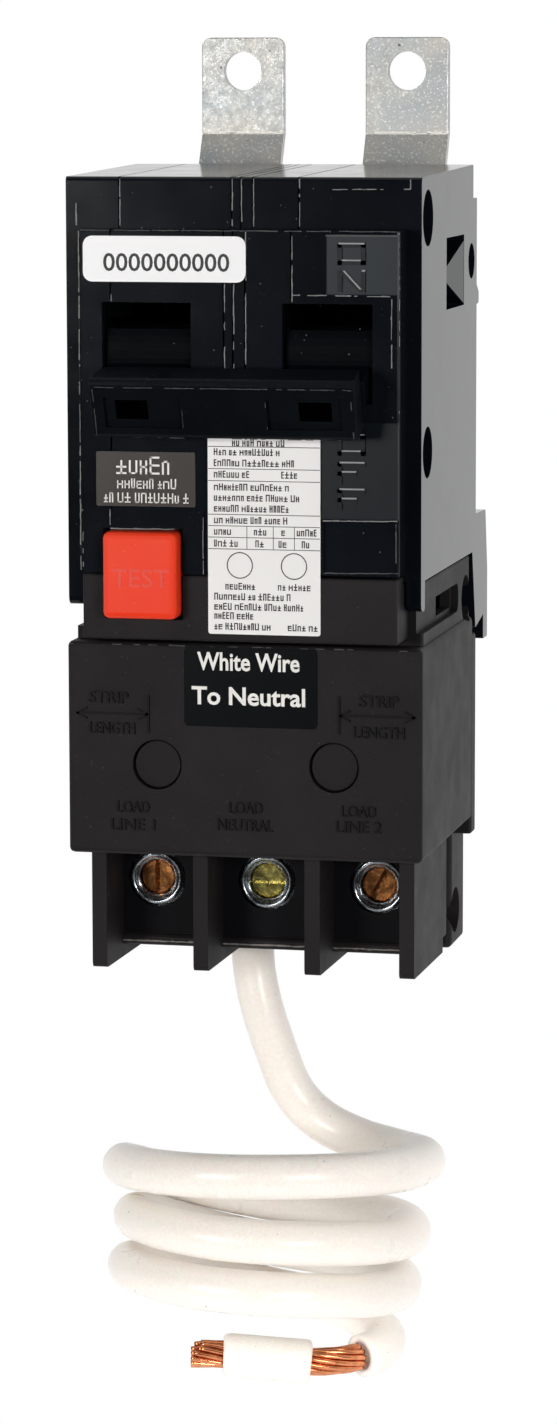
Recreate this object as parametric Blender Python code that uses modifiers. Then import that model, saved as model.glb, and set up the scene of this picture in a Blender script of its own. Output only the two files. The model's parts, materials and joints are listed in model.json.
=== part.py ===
"""Two-pole bolt-on ground-fault circuit breaker with a white neutral pigtail.

Frame: +Z towards the line end, -Y towards the user, +X to the user's right.  The origin is on
the flat back of the terminal base, where the breaker seats on its panel.  Sizes are millimetres,
turned into metres by MM where the meshes are made.
"""
import math

import bmesh
import bpy
from mathutils import Matrix, Vector

MM = 0.001
GAP = 0.3                     # clearance between pieces that touch
SEAM = 0.25                   # visible joint between neighbouring case pieces
WALL = 1.6                    # moulded wall thickness

# Breaker case
HALF_WIDTH = 25.4             # two poles, 25.4 wide each
FRONT = -55.0                 # shoulder plane
BACK = -10.4
TOP = 110.0
SIDE_BOTTOM = 53.8
LEG_BOTTOM = 49.6
FOOT_BOTTOM = 39.7
FACE_FRONT = -60.2            # raised face that holds the handle windows
FACE_TOP, FACE_BOTTOM = 102.9, 55.0
FACE_LEFT, FACE_RIGHT = -22.3, 23.3
SEAM_LEFT_COVER = -17.7       # joints between case pieces, from left to right
SEAM_LEFT_SPACER = -1.56
SEAM_MIDDLE = -0.25
SEAM_RIGHT_SPACER = 1.47
SEAM_RIGHT_COVER = 8.01

# Handle
POLE_X = {"left": -12.6, "right": 13.1}
HANDLE_AXIS = (-49.0, 85.7)   # y, z
HANDLE_REST = 21.6            # degrees below level when off
DRUM_R, HUB_R = 10.0, 3.6
DRUM_HALF_WIDTH = 6.05
STEM_BELOW, STEM_ABOVE = 1.95, 2.25
TIE_INNER_R, TIE_OUTER_R = 15.3, 20.1
TIE_LEFT, TIE_RIGHT, TIE_HALF = -18.6, 18.5, 4.4
# Left and right ends of each recessed panel and of the finger pocket in it
TIE_PANELS = (((-16.8, -5.9), (-15.3, -10.7)), ((6.2, 16.6), (10.6, 15.2)))
WINDOW_HALF = 6.35
WINDOW_TOP, WINDOW_BOTTOM = 92.75, 79.0

# Line side
TAB_X = {"left": -12.5, "right": 12.7}
TAB_HALF, TAB_THICK = 6.3, 1.6
TAB_HOLE_Z, TAB_HOLE_R, TAB_TOP = 124.5, 2.9, 129.5
CONTACT_Y, CONTACT_Z = -24.0, 99.5
ARM_AXIS = (-38.0, 80.0)
ARM_SWING = 20.0              # degrees between open and closed
CRADLE_AXIS = (-20.0, 66.0)
ARMATURE_AXIS = (-34.5, 75.0)
TRIP_AXIS = (-47.5, 59.4)

# Ground-fault module
COVER_FRONT, COVER_BACK = -55.6, -14.2
COVER_LEFT, COVER_RIGHT = -25.6, 25.7
COVER_BOTTOM, COVER_TOP = 14.0, 44.5
NECK_TOP = 54.7
BUTTON_LOW, BUTTON_HIGH = (-18.45, -63.2, 48.7), (-7.85, -57.6, 60.9)
BUTTON_STEM = (-12.65, 50.2)
PLUNGER = (-17.2, -43.5)
PLUG_AT = {"left": (-12.5, 27.1), "right": (13.1, 27.4)}
PLUG_R = 3.45

# Load terminals
LUG_X = {"left": -16.4, "middle": 0.0, "right": 16.5}
SCREW_Z, SCREW_R = 8.0, 2.55
SLOT_TURN = {"left": 0.0, "middle": 90.0, "right": 27.0}
BARRIERS = [(-23.65, -21.45), (-8.7, -6.5), (7.6, 9.9), (21.4, 23.6)]
BASE_FRONT, BARRIER_FRONT = -40.0, -50.0
BASE_HALF, BASE_BOTTOM = 23.6, -2.0

# Rivets: y, z, radius of the well in the outer side, depth of the well
CASE_RIVETS = {"upper": (-50.3, 104.3, 3.95, 4.0), "lower": (-50.3, 71.65, 3.65, 4.0)}
REAR_WELL = (-15.0, 96.9, 2.6, 3.0)
MODULE_RIVET = (-17.3, 47.4, 3.45, 3.2)
BASE_RIVET = (-7.6, -1.2, 3.45, 3.0)

# Neutral pigtail
WIRE_R, CONDUCTOR_R = 3.2, 2.1
WIRE_EXIT = (-6.6, -20.0)
COIL_AXIS = (0.0, -41.0)
COIL_TURN = math.radians(12.3)
# Distance to the right or left of the axis where the wire passes each side, right side first
COIL_SIDES = (22.9, -20.7, 20.9, -19.2, 19.6, -20.1, 18.6)
# Height of the wire each quarter turn, from the right side to the front, the left and the back
COIL_HEIGHTS = (-33.0, -30.5, -33.8, -44.2, -43.7, -40.4, -41.3, -50.8, -51.7, -48.0, -48.7, -57.4)
LEAD_ROUTE = ((-6.6, -20.0, 6.0), (-6.6, -20.0, 1.0), (-6.6, -20.0, -4.0), (-6.4, -20.0, -9.0))
LEAD_BEND = ((-0.7, -21.3, -14.5), (1.2, -21.5, -20.6), (4.0, -21.6, -27.6), (8.3, -20.6, -32.0),
             (14.0, -17.3, -34.2), (19.4, -10.9, -34.4))
TAIL_ROUTE = ((9.6, -18.6, -59.6), (14.6, -14.2, -60.9), (17.4, -8.6, -62.2), (16.4, -4.2, -63.0))
TAIL_END = (13.9, -1.9, -63.3)
CONDUCTOR_ROUTE = ((13.5, -1.55, -63.3), (11.0, 0.2, -63.3), (6.6, 1.4, -63.2), (0.0, 1.5, -62.6),
                   (-6.5, 1.5, -62.0), (-11.6, 1.5, -61.9))


# ---------------------------------------------------------------- scene and materials

def clear_scene():
    for obj in list(bpy.data.objects):
        bpy.data.objects.remove(obj, do_unlink=True)


clear_scene()
PARTS = bpy.data.collections.new("gfci_breaker")
bpy.context.scene.collection.children.link(PARTS)


def material(name, colour, roughness, metallic=0.0):
    mat = bpy.data.materials.new(name)
    mat.use_nodes = True
    shader = mat.node_tree.nodes["Principled BSDF"]
    shader.inputs["Base Color"].default_value = (*colour, 1.0)
    shader.inputs["Roughness"].default_value = roughness
    shader.inputs["Metallic"].default_value = metallic
    mat.diffuse_color = (*colour, 1.0)
    return mat


BLACK = material("case_black", (0.008, 0.010, 0.014), 0.25)
MODULE = material("module_black", (0.030, 0.026, 0.027), 0.55)
RED = material("button_red", (0.80, 0.07, 0.03), 0.40)
ZINC = material("zinc_plate", (0.60, 0.60, 0.58), 0.40, 1.0)
SILVER = material("lug_silver", (0.72, 0.73, 0.74), 0.25, 1.0)
BRASS = material("screw_brass", (0.70, 0.50, 0.22), 0.30, 1.0)
COPPER = material("copper", (0.85, 0.40, 0.22), 0.30, 1.0)
STEEL = material("spring_steel", (0.45, 0.46, 0.48), 0.35, 1.0)
BOARD = material("circuit_board", (0.02, 0.16, 0.07), 0.50)
FERRITE = material("ferrite", (0.05, 0.05, 0.055), 0.60)
FIBRE = material("arc_fibre", (0.35, 0.16, 0.08), 0.75)
WHITE = material("wire_white", (0.78, 0.76, 0.72), 0.35)


# ---------------------------------------------------------------- shape helpers

def place(name, mesh):
    obj = bpy.data.objects.new(name, mesh)
    PARTS.objects.link(obj)
    return obj


def from_bmesh(name, bm):
    bmesh.ops.recalc_face_normals(bm, faces=bm.faces)
    if bm.calc_volume(signed=True) < 0.0:
        bmesh.ops.reverse_faces(bm, faces=bm.faces)
    mesh = bpy.data.meshes.new(name)
    bm.to_mesh(mesh)
    bm.free()
    return place(name, mesh)


def box(name, low, high):
    low, high = Vector(low) * MM, Vector(high) * MM
    bm = bmesh.new()
    bmesh.ops.create_cube(bm, size=1.0)
    size = high - low
    bmesh.ops.transform(bm, verts=bm.verts,
                        matrix=Matrix.Translation((low + high) / 2) @ Matrix.Diagonal((*size, 1.0)))
    return from_bmesh(name, bm)


TURN_TO = {"x": Matrix.Rotation(math.pi / 2, 4, "Y"), "y": Matrix.Rotation(math.pi / 2, 4, "X"),
           "z": Matrix.Identity(4)}


def rod(name, axis, start, end, radius, sides=24):
    """A cylinder along one axis, from start to the given coordinate on that axis."""
    start = Vector(start)
    finish = start.copy()
    finish["xyz".index(axis)] = end
    bm = bmesh.new()
    bmesh.ops.create_cone(bm, cap_ends=True, segments=sides, radius1=radius * MM,
                          radius2=radius * MM, depth=(finish - start).length * MM)
    centre = (start + finish) / 2 * MM
    bmesh.ops.transform(bm, verts=bm.verts, matrix=Matrix.Translation(centre) @ TURN_TO[axis])
    return from_bmesh(name, bm)


def rounded(points, steps=4):
    """An outline of (u, v) or (u, v, radius) corners, with an arc at each radius."""
    outline = []
    count = len(points)
    for index, point in enumerate(points):
        corner = Vector(point[:2])
        radius = point[2] if len(point) > 2 else 0.0
        if not radius:
            outline.append(corner)
            continue
        before = (Vector(points[index - 1][:2]) - corner).normalized()
        after = (Vector(points[(index + 1) % count][:2]) - corner).normalized()
        half = before.angle(after) / 2
        centre = corner + (before + after).normalized() * radius / math.sin(half)
        start = corner + before * radius / math.tan(half) - centre
        finish = corner + after * radius / math.tan(half) - centre
        sweep = start.angle_signed(finish)
        for step in range(steps + 1):
            outline.append(centre + Matrix.Rotation(-sweep * step / steps, 2) @ start)
    return outline


PLANES = {"yz": Matrix(((0, 0, 1, 0), (1, 0, 0, 0), (0, 1, 0, 0), (0, 0, 0, 1))),
          "xz": Matrix(((1, 0, 0, 0), (0, 0, -1, 0), (0, 1, 0, 0), (0, 0, 0, 1))),
          "xy": Matrix.Identity(4)}
NORMAL_AXIS = {"yz": 0, "xz": 1, "xy": 2}


def prism(name, plane, outline, low, high):
    """A flat outline in a plane, extruded between two coordinates on the plane's normal."""
    curve = bpy.data.curves.new(name, "CURVE")
    curve.dimensions = "2D"
    curve.fill_mode = "BOTH"
    curve.extrude = (high - low) / 2 * MM
    spline = curve.splines.new("POLY")
    spline.points.add(len(outline) - 1)
    for target, point in zip(spline.points, outline):
        target.co = (point[0] * MM, point[1] * MM, 0.0, 1.0)
    spline.use_cyclic_u = True
    shift = Vector((0, 0, 0))
    shift[NORMAL_AXIS[plane]] = (low + high) / 2 * MM
    return curve_to_mesh(name, curve, Matrix.Translation(shift) @ PLANES[plane])


def curve_to_mesh(name, curve, matrix):
    holder = place(name + "_curve", curve)
    holder.matrix_world = matrix
    bpy.context.view_layer.update()
    graph = bpy.context.evaluated_depsgraph_get()
    mesh = bpy.data.meshes.new_from_object(holder.evaluated_get(graph))
    mesh.transform(matrix)
    bpy.data.objects.remove(holder, do_unlink=True)
    bm = bmesh.new()
    bm.from_mesh(mesh)
    bmesh.ops.remove_doubles(bm, verts=bm.verts, dist=1e-6)
    return from_bmesh(name, bm)


def ribbon(path, thickness):
    """The outline of a strap of even thickness that follows a path of (u, v) points."""
    points = [Vector(point) for point in path]
    left, right = [], []
    for index, point in enumerate(points):
        before = (point - points[index - 1]).normalized() if index else None
        after = (points[index + 1] - point).normalized() if index + 1 < len(points) else None
        along = ((before or after) + (after or before)).normalized()
        side = Vector((-along.y, along.x))
        reach = thickness / 2 / abs(along.dot(before or after))
        left.append(point + side * reach)
        right.append(point - side * reach)
    return left + right[::-1]


def apply_modifiers(obj):
    graph = bpy.context.evaluated_depsgraph_get()
    mesh = bpy.data.meshes.new_from_object(obj.evaluated_get(graph))
    obj.modifiers.clear()
    obj.data = mesh


def boolean(obj, others, operation):
    for other in others:
        step = obj.modifiers.new("boolean", "BOOLEAN")
        step.operation = operation
        step.object = other
        apply_modifiers(obj)
        bpy.data.objects.remove(other, do_unlink=True)
    return obj


def fuse(obj, *others):
    return boolean(obj, others, "UNION")


def carve(obj, *cutters):
    return boolean(obj, cutters, "DIFFERENCE")


def soften(obj, width=0.3, segments=2, angle=35.0):
    """Rounds the edges of an unscaled solid."""
    step = obj.modifiers.new("bevel", "BEVEL")
    step.width = width * MM
    step.segments = segments
    step.limit_method = "ANGLE"
    step.angle_limit = math.radians(angle)
    apply_modifiers(obj)
    return obj


def finish(obj, mat, pivot=None, turn=0.0):
    """Gives a piece its material, its smooth shading and, if it moves, its pivot."""
    obj.data.materials.clear()
    obj.data.materials.append(mat)
    obj.data.shade_smooth()
    obj.data.set_sharp_from_angle(angle=math.radians(35.0))
    if pivot:
        centre = Vector(pivot) * MM
        obj.data.transform(Matrix.Translation(-centre))
        obj.location = centre
        obj.rotation_euler = (math.radians(turn), 0.0, 0.0)
    return obj


# ---------------------------------------------------------------- breaker case

CASE_OUTLINE = rounded([
    (FRONT, TOP, 0.6), (-13.5, TOP + 0.9, 0.4), (-13.5, 106.0), (BACK, 106.0, 0.3), (BACK, 93.3),
    (-8.6, 92.2, 0.5), (-8.6, 90.5, 0.5), (BACK, 90.3), (BACK, 59.3), (-1.8, 59.1, 0.4), (0.0, 50.0),
    (0.0, FOOT_BOTTOM, 0.3), (-3.6, FOOT_BOTTOM, 0.3), (-3.6, 43.4), (BACK, 42.2, 0.3),
    (-13.3, SIDE_BOTTOM), (FRONT + 3.0, SIDE_BOTTOM), (FRONT + 3.0, LEG_BOTTOM, 0.6),
    (FRONT, LEG_BOTTOM, 1.2)], steps=3)
CAVITY_OUTLINE = [
    (FRONT + WALL, TOP - WALL), (-15.1, TOP - 0.8), (-15.1, 104.4), (BACK - WALL, 104.4),
    (BACK - WALL, 61.0), (-15.0, SIDE_BOTTOM + WALL), (FRONT + WALL, SIDE_BOTTOM + WALL)]


def case_solid():
    """The outer form of the whole case, with its raised face, before it is cut into pieces."""
    solid = soften(prism("case_solid", "yz", CASE_OUTLINE, -HALF_WIDTH, HALF_WIDTH), 0.3)
    fuse(solid, soften(box("face", (FACE_LEFT, FACE_FRONT, FACE_BOTTOM),
                           (FACE_RIGHT, FRONT + 2.0, FACE_TOP)), 0.35))
    return carve(solid, box("leg_gap", (FACE_LEFT, FRONT - 1.0, LEG_BOTTOM - 1.0),
                            (FACE_RIGHT, FRONT + 3.1, SIDE_BOTTOM + 0.02)))


def case_blank(name, left, right):
    """A full-depth slice of the case between two x planes."""
    low = left if left > -HALF_WIDTH else -30.0
    high = right if right < HALF_WIDTH else 30.0
    blank = place(name, CASE.data.copy())
    return boolean(blank, [box("slab", (low, -70.0, 30.0), (high, 10.0, 120.0))], "INTERSECT")


def side_bosses(wall_x, inward):
    """Thick spots behind the wells of an outer side wall; inward is +1 or -1."""
    spots = [(y, z, radius + 1.2, depth + 1.3)
             for y, z, radius, depth in [*CASE_RIVETS.values(), REAR_WELL]]
    bosses = [rod("boss", "x", (wall_x, y, z), wall_x + inward * depth, radius, 20)
              for y, z, radius, depth in spots]
    block = sorted((wall_x, wall_x + inward * 4.9))
    bosses.append(box("block", (block[0], -37.1, 89.4), (block[1], -19.9, 102.4)))
    return bosses


def vent_ramp(wall_x, inward):
    """A tapering floor that leaves the vent's rear edge and sinks towards its front."""
    bm = bmesh.new()
    outline = [(-20.9, 100.25), (-34.0, 95.55), (-20.9, 90.9)]
    top = [bm.verts.new(Vector((wall_x + inward * 0.09 * (-21.0 - y), y, z)) * MM) for y, z in outline]
    base = [bm.verts.new(Vector((wall_x + inward * 4.0, y, z)) * MM) for y, z in outline]
    bm.faces.new(top)
    bm.faces.new(base[::-1])
    for k in range(3):
        bm.faces.new((top[k], base[k], base[k - 2], top[k - 2]))
    bmesh.ops.recalc_face_normals(bm, faces=bm.faces)
    return from_bmesh("ramp", bm)


def side_cuts(wall_x, inward):
    """The wells and the square vent that are sunk into an outer side wall."""
    start = wall_x - inward
    cuts = [rod("well", "x", (start, y, z), wall_x + inward * depth, radius, 28)
            for y, z, radius, depth in [*CASE_RIVETS.values(), REAR_WELL]]
    deep = sorted((start, wall_x + inward * 3.5))
    vent = box("vent", (deep[0], -35.7, 90.8), (deep[1], -21.3, 101.0))
    return cuts + [carve(vent, vent_ramp(wall_x, inward))]


def case_cavity(left, right, outer):
    """The hollow of a case piece, less the bosses that stand in it."""
    cavity = fuse(prism("cavity", "yz", CAVITY_OUTLINE, left, right),
                  box("face_cavity", (max(left, FACE_LEFT + WALL), FACE_FRONT + WALL, FACE_BOTTOM + WALL),
                      (min(right, FACE_RIGHT - WALL), FRONT + 3.0, FACE_TOP - WALL)))
    for y, z, _, _ in CASE_RIVETS.values():
        carve(cavity, rod("boss", "x", (left - 1.0, y, z), right + 1.0, 3.2, 20))
    if outer:
        carve(cavity, *side_bosses(*outer))
    return cavity


def pin_boss(cavity, wall_x, tip_x):
    """A socket for the handle pin, standing on a wall."""
    return carve(cavity, rod("socket", "x", (wall_x, *HANDLE_AXIS), tip_x, 3.2, 20))


def handle_window(side):
    centre = POLE_X[side]
    return box("window", (centre - WINDOW_HALF, FACE_FRONT - 1.0, WINDOW_BOTTOM),
               (centre + WINDOW_HALF, FACE_FRONT + 3.0, WINDOW_TOP))


def button_hole():
    low, high = Vector(BUTTON_LOW), Vector(BUTTON_HIGH)
    return box("button_hole", (low.x - GAP, FACE_FRONT - 1.0, low.z - GAP),
               (high.x + GAP, FRONT - 0.5, high.z + GAP))


def line_slot(side):
    centre = TAB_X[side]
    return box("line_slot", (centre - TAB_HALF - GAP, -16.0, 100.2), (centre + TAB_HALF + GAP, -8.0, 102.8))


def load_slot(side, low, high):
    centre = POLE_X[side]
    return box("load_slot", (centre - 1.2, -32.8, low), (centre + 1.2, -27.2, high))


def plunger_hole(low, high):
    return rod("plunger_hole", "z", (*PLUNGER, low), high, 2.0, 16)


def rivet_holes(left, right):
    return [rod("rivet_hole", "x", (left, y, z), right, 2.0, 16) for y, z, _, _ in CASE_RIVETS.values()]


def trip_hole(left, right):
    return rod("trip_hole", "x", (left, *TRIP_AXIS), right, 2.0, 16)


def outer_shell(name, left, right, side, outer, pin_tip):
    """The piece of a pole that carries the outer side wall, open towards its neighbour."""
    wall_x, inward = outer
    cavity_low, cavity_high = sorted((wall_x + inward * WALL, (right if inward > 0 else left) + inward))
    shell = case_blank(name, left, right)
    cavity = pin_boss(case_cavity(cavity_low, cavity_high, outer), wall_x, pin_tip)
    carve(shell, cavity, *side_cuts(wall_x, inward), handle_window(side), line_slot(side),
          load_slot(side, 52.0, 57.0))
    socket = rod("socket", "x", (wall_x + inward * 2.0, *HANDLE_AXIS), pin_tip + inward, 1.8, 16)
    return carve(shell, socket, *rivet_holes(left - 1.0, right + 1.0))


def pegs(side, wall_x, inward):
    """Short pegs on a base's wall for the contact arm and the cradle to turn on."""
    centre = POLE_X[side]
    return [rod("peg", "x", (wall_x, *ARM_AXIS), centre - inward * 2.4, 1.2, 14),
            rod("peg", "x", (wall_x, *CRADLE_AXIS), centre + 5.4, 1.0, 14)]


def left_cover():
    left, right = -HALF_WIDTH, SEAM_LEFT_COVER - SEAM / 2
    shell = outer_shell("pole_cover_left", left, right, "left", (-HALF_WIDTH, 1), -19.5)
    return finish(carve(shell, button_hole(), plunger_hole(52.0, 57.0)), BLACK)


def left_base():
    left, right = SEAM_LEFT_COVER + SEAM / 2, SEAM_LEFT_SPACER - SEAM / 2
    wall = right - WALL
    shell = case_blank("pole_base_left", left, right)
    cavity = pin_boss(case_cavity(left - 1.0, wall, None), wall + 0.5, -5.7)
    carve(shell, cavity, handle_window("left"), button_hole(), line_slot("left"),
          load_slot("left", 52.0, 57.0), trip_hole(wall - 1.0, right + 1.0))
    carve(shell, rod("socket", "x", (wall + 0.6, *HANDLE_AXIS), -6.7, 1.8, 16),
          *rivet_holes(left - 1.0, right + 1.0), plunger_hole(52.0, 57.0))
    return finish(fuse(shell, *pegs("left", wall + 0.2, -1)), BLACK)


def right_cover():
    left, right = SEAM_RIGHT_SPACER + SEAM / 2, SEAM_RIGHT_COVER - SEAM / 2
    wall = left + WALL
    shell = case_blank("pole_cover_right", left, right)
    cavity = pin_boss(case_cavity(wall, right + 1.0, None), wall - 0.5, 6.2)
    carve(shell, cavity, handle_window("right"), line_slot("right"), trip_hole(left - 1.0, wall + 1.0))
    carve(shell, rod("socket", "x", (wall - 0.6, *HANDLE_AXIS), 7.2, 1.8, 16),
          *rivet_holes(left - 1.0, right + 1.0))
    return finish(shell, BLACK)


def right_base():
    left, right = SEAM_RIGHT_COVER + SEAM / 2, HALF_WIDTH
    shell = outer_shell("pole_base_right", left, right, "right", (HALF_WIDTH, -1), 20.0)
    field = box("field", (12.6, FACE_FRONT - 1.0, 55.6), (22.9, FACE_FRONT + 0.4, 62.5))
    carve(shell, field)
    return finish(fuse(shell, *pegs("right", HALF_WIDTH - WALL + 0.2, -1)), BLACK)


def spacer(name, left, right):
    plate = case_blank(name, left + SEAM / 2, right - SEAM / 2)
    carve(plate, *rivet_holes(left - 1.0, right + 1.0), trip_hole(left - 1.0, right + 1.0))
    return finish(plate, BLACK)


def case_rivet(which):
    y, z, radius, depth = CASE_RIVETS[which]
    seat = HALF_WIDTH - depth
    shank = rod("case_rivet_" + which, "x", (-seat - 0.9, y, z), seat + 0.9, 1.7, 16)
    for side in (-1, 1):
        fuse(shank, soften(rod("head", "x", (side * (seat + 0.3), y, z), side * (seat + 1.3),
                               radius - 0.6, 18), 0.3, 1))
    return finish(shank, STEEL)


# ---------------------------------------------------------------- handle

def toggle(side):
    centre = POLE_X[side]
    y, z = HANDLE_AXIS
    low, high = centre - DRUM_HALF_WIDTH, centre + DRUM_HALF_WIDTH
    spread = [math.radians(180 + angle) for angle in range(-41, 42, 6)]
    sector = [(y + DRUM_R * math.cos(a), z + DRUM_R * math.sin(a)) for a in spread]
    drum = prism("toggle_" + side, "yz", sector + [(y + 1.5, z - 1.0), (y + 1.5, z + 1.0)], low, high)
    fuse(drum, rod("hub", "x", (low - 0.1, y, z), high + 0.1, HUB_R, 20))
    stem = soften(box("stem", (centre - 5.75, y - TIE_INNER_R + GAP, z - STEM_BELOW),
                      (centre + 5.75, y - DRUM_R + 1.0, z + STEM_ABOVE)), 0.4)
    fuse(drum, stem)
    carve(drum, rod("bore", "x", (low - 1.0, y, z), high + 1.0, 1.85, 16))
    return finish(drum, BLACK, (centre, *HANDLE_AXIS), HANDLE_REST)


def handle_tie():
    y, z = HANDLE_AXIS
    front = y - TIE_OUTER_R
    outline = rounded([(front, z - TIE_HALF, 0.7), (y - TIE_INNER_R, z - TIE_HALF, 0.4),
                       (y - TIE_INNER_R, z + TIE_HALF, 0.4), (front, z + TIE_HALF, 1.1)])
    bar = soften(prism("handle_tie", "yz", outline, TIE_LEFT, TIE_RIGHT), 0.4, 2, 50.0)
    rear = y - TIE_INNER_R
    carve(bar, prism("end_slope", "xy", [(TIE_LEFT - 1.0, rear + 1.0), (TIE_LEFT - 1.0, rear - 3.3), (TIE_LEFT, rear - 3.3),
                                         (TIE_LEFT + 1.3, rear), (TIE_LEFT + 1.3, rear + 1.0)],
                     z - TIE_HALF - 1.0, z + TIE_HALF + 1.0))
    for panel, pocket in TIE_PANELS:
        carve(bar, box("panel", (panel[0], front - 1.0, z - 2.7), (panel[1], front + 0.5, z + 1.9)),
              box("pocket", (pocket[0], front - 1.0, z - 1.6), (pocket[1], front + 2.2, z + 1.3)))
    return finish(bar, BLACK, ((TIE_LEFT + TIE_RIGHT) / 2, *HANDLE_AXIS), HANDLE_REST)


def handle_pin(side):
    ends = {"left": (-22.8, -3.6), "right": (3.5, 22.8)}[side]
    return finish(rod("handle_pin_" + side, "x", (ends[0], *HANDLE_AXIS), ends[1], 1.5, 16), STEEL)


# ---------------------------------------------------------------- switching parts of a pole

def line_strap(side):
    centre = TAB_X[side]
    mid_y = 1.0 + TAB_THICK / 2
    path = [(-27.0, 101.5), (-5.5, 101.5), (mid_y, 115.0), (mid_y, TAB_TOP)]
    strap = prism("line_strap_" + side, "yz", ribbon(path, TAB_THICK), centre - TAB_HALF, centre + TAB_HALF)
    soften(strap, 0.15)
    blank = rounded([(centre - 8.0, 95.0), (centre + 8.0, 95.0), (centre + 8.0, 112.0),
                     (centre + TAB_HALF, 113.0), (centre + TAB_HALF, TAB_TOP, 1.4),
                     (centre - TAB_HALF, TAB_TOP, 1.4), (centre - TAB_HALF, 113.0), (centre - 8.0, 112.0)])
    boolean(strap, [prism("blank", "xz", blank, -30.0, 6.0)], "INTERSECT")
    carve(strap, rod("bolt_hole", "y", (centre, -2.0, TAB_HOLE_Z), 6.0, TAB_HOLE_R, 32))
    button = rod("fixed_contact", "z", (POLE_X[side], CONTACT_Y, CONTACT_Z), CONTACT_Z + 1.5, 2.5, 20)
    return finish(fuse(strap, button), ZINC)


def contact_arm(side):
    centre = POLE_X[side]
    outline = rounded([(-41.0, 80.5, 1.5), (-38.5, 77.0, 1.5), (-35.2, 78.6, 1.0), (-21.5, 95.6, 1.0),
                       (-21.5, 98.0), (-26.6, 98.0), (-27.4, 96.0, 1.0)], steps=3)
    arm = prism("contact_arm_" + side, "yz", outline, centre - 1.5, centre + 1.5)
    top = CONTACT_Z - GAP
    fuse(arm, rod("moving_contact", "z", (centre, CONTACT_Y, 97.8), top, 2.2, 20))
    carve(arm, rod("bore", "x", (centre - 3.0, *ARM_AXIS), centre + 3.0, 1.5, 16))
    return finish(arm, COPPER, (centre, *ARM_AXIS), -ARM_SWING)


def arc_chute(side):
    centre = POLE_X[side]
    low_y, high_y, low_z, high_z = -21.0, -12.9, 84.0, 99.2
    chute = box("arc_chute_" + side, (centre - 6.9, low_y, low_z), (centre + 6.9, high_y, high_z))
    cuts = [box("throat", (centre - 2.9, low_y - 1.0, low_z - 1.0), (centre + 2.9, -15.2, high_z + 1.0))]
    plates = 5
    pitch = (high_z - low_z - 0.9) / (plates - 1)
    for index in range(plates - 1):
        base = low_z + 0.9 + index * pitch
        for left, right in ((centre - 6.1, centre - 2.0), (centre + 2.0, centre + 6.1)):
            cuts.append(box("slot", (left, low_y - 1.0, base), (right, high_y - 0.8, base + pitch - 0.9)))
    return finish(carve(chute, *cuts), FIBRE)


def cradle(side):
    low = POLE_X[side] + 6.0
    outline = rounded([(-17.2, 67.5, 1.5), (-22.0, 70.0, 1.5), (-36.0, 66.8, 1.5), (-43.5, 64.2, 0.8),
                       (-43.5, 60.8, 0.8), (-40.0, 60.8), (-30.0, 62.4, 2.0), (-18.5, 63.2, 2.0)], steps=3)
    plate = prism("cradle_" + side, "yz", outline, low, low + 1.6)
    carve(plate, rod("bore", "x", (low - 1.0, *CRADLE_AXIS), low + 3.0, 1.3, 14))
    return finish(plate, STEEL, (low + 0.8, *CRADLE_AXIS))


def bimetal(side):
    centre = POLE_X[side]
    return finish(box("bimetal_" + side, (centre - 3.0, -30.5, 57.6), (centre + 3.0, -29.5, 76.0)), BRASS)


def magnet_yoke(side):
    centre = POLE_X[side]
    outline = [(centre - 4.6, -33.0), (centre - 3.6, -33.0), (centre - 3.6, -28.7), (centre + 3.6, -28.7),
               (centre + 3.6, -33.0), (centre + 4.6, -33.0), (centre + 4.6, -27.7), (centre - 4.6, -27.7)]
    return finish(prism("magnet_yoke_" + side, "xy", outline, 62.0, 72.0), STEEL)


def armature(side):
    centre = POLE_X[side]
    plate = box("armature_" + side, (centre - 4.4, -35.0, 60.0), (centre + 4.4, -34.0, 75.0))
    carve(plate, box("window", (centre - 1.6, -36.0, 62.0), (centre + 1.6, -33.0, 66.0)))
    return finish(plate, STEEL, (centre, *ARMATURE_AXIS))


def trip_bar():
    y, z = TRIP_AXIS
    bar = rod("trip_bar", "x", (-22.0, y, z), 22.0, 1.5, 16)
    for centre in POLE_X.values():
        fuse(bar, box("paddle", (centre - 2.0, y - 0.7, z + 0.5), (centre + 2.0, y + 0.7, 67.8)))
    fuse(bar, box("finger", (PLUNGER[0] - 1.7, y + 0.7, 58.9), (PLUNGER[0] + 1.7, PLUNGER[1] + 1.7, 59.9)))
    return finish(bar, FIBRE, (0.0, *TRIP_AXIS))


# ---------------------------------------------------------------- ground-fault module

def module_wells():
    y, z, radius, depth = MODULE_RIVET
    wells = [rod("rivet_hole", "x", (-26.0, y, z), 26.0, 2.0, 16)]
    for side in (-1, 1):
        wells.append(rod("well", "x", (side * 27.0, y, z), side * (25.1 - depth), radius, 28))
    return wells


def side_groove(side):
    """A shallow groove along the module's shoulder with a deeper slot at its rear end."""
    outer, floor, deep = side * 27.0, side * 24.1, side * 22.5
    groove = prism("groove", "yz", rounded([(-53.0, 46.2), (-23.5, 46.2, 1.4), (-23.5, 50.4, 1.4),
                                            (-53.0, 50.4)]), *sorted((outer, floor)))
    slot = box("slot", (min(outer, deep), -36.5, 46.9), (max(outer, deep), -25.0, 49.8))
    return [groove, slot]


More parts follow.
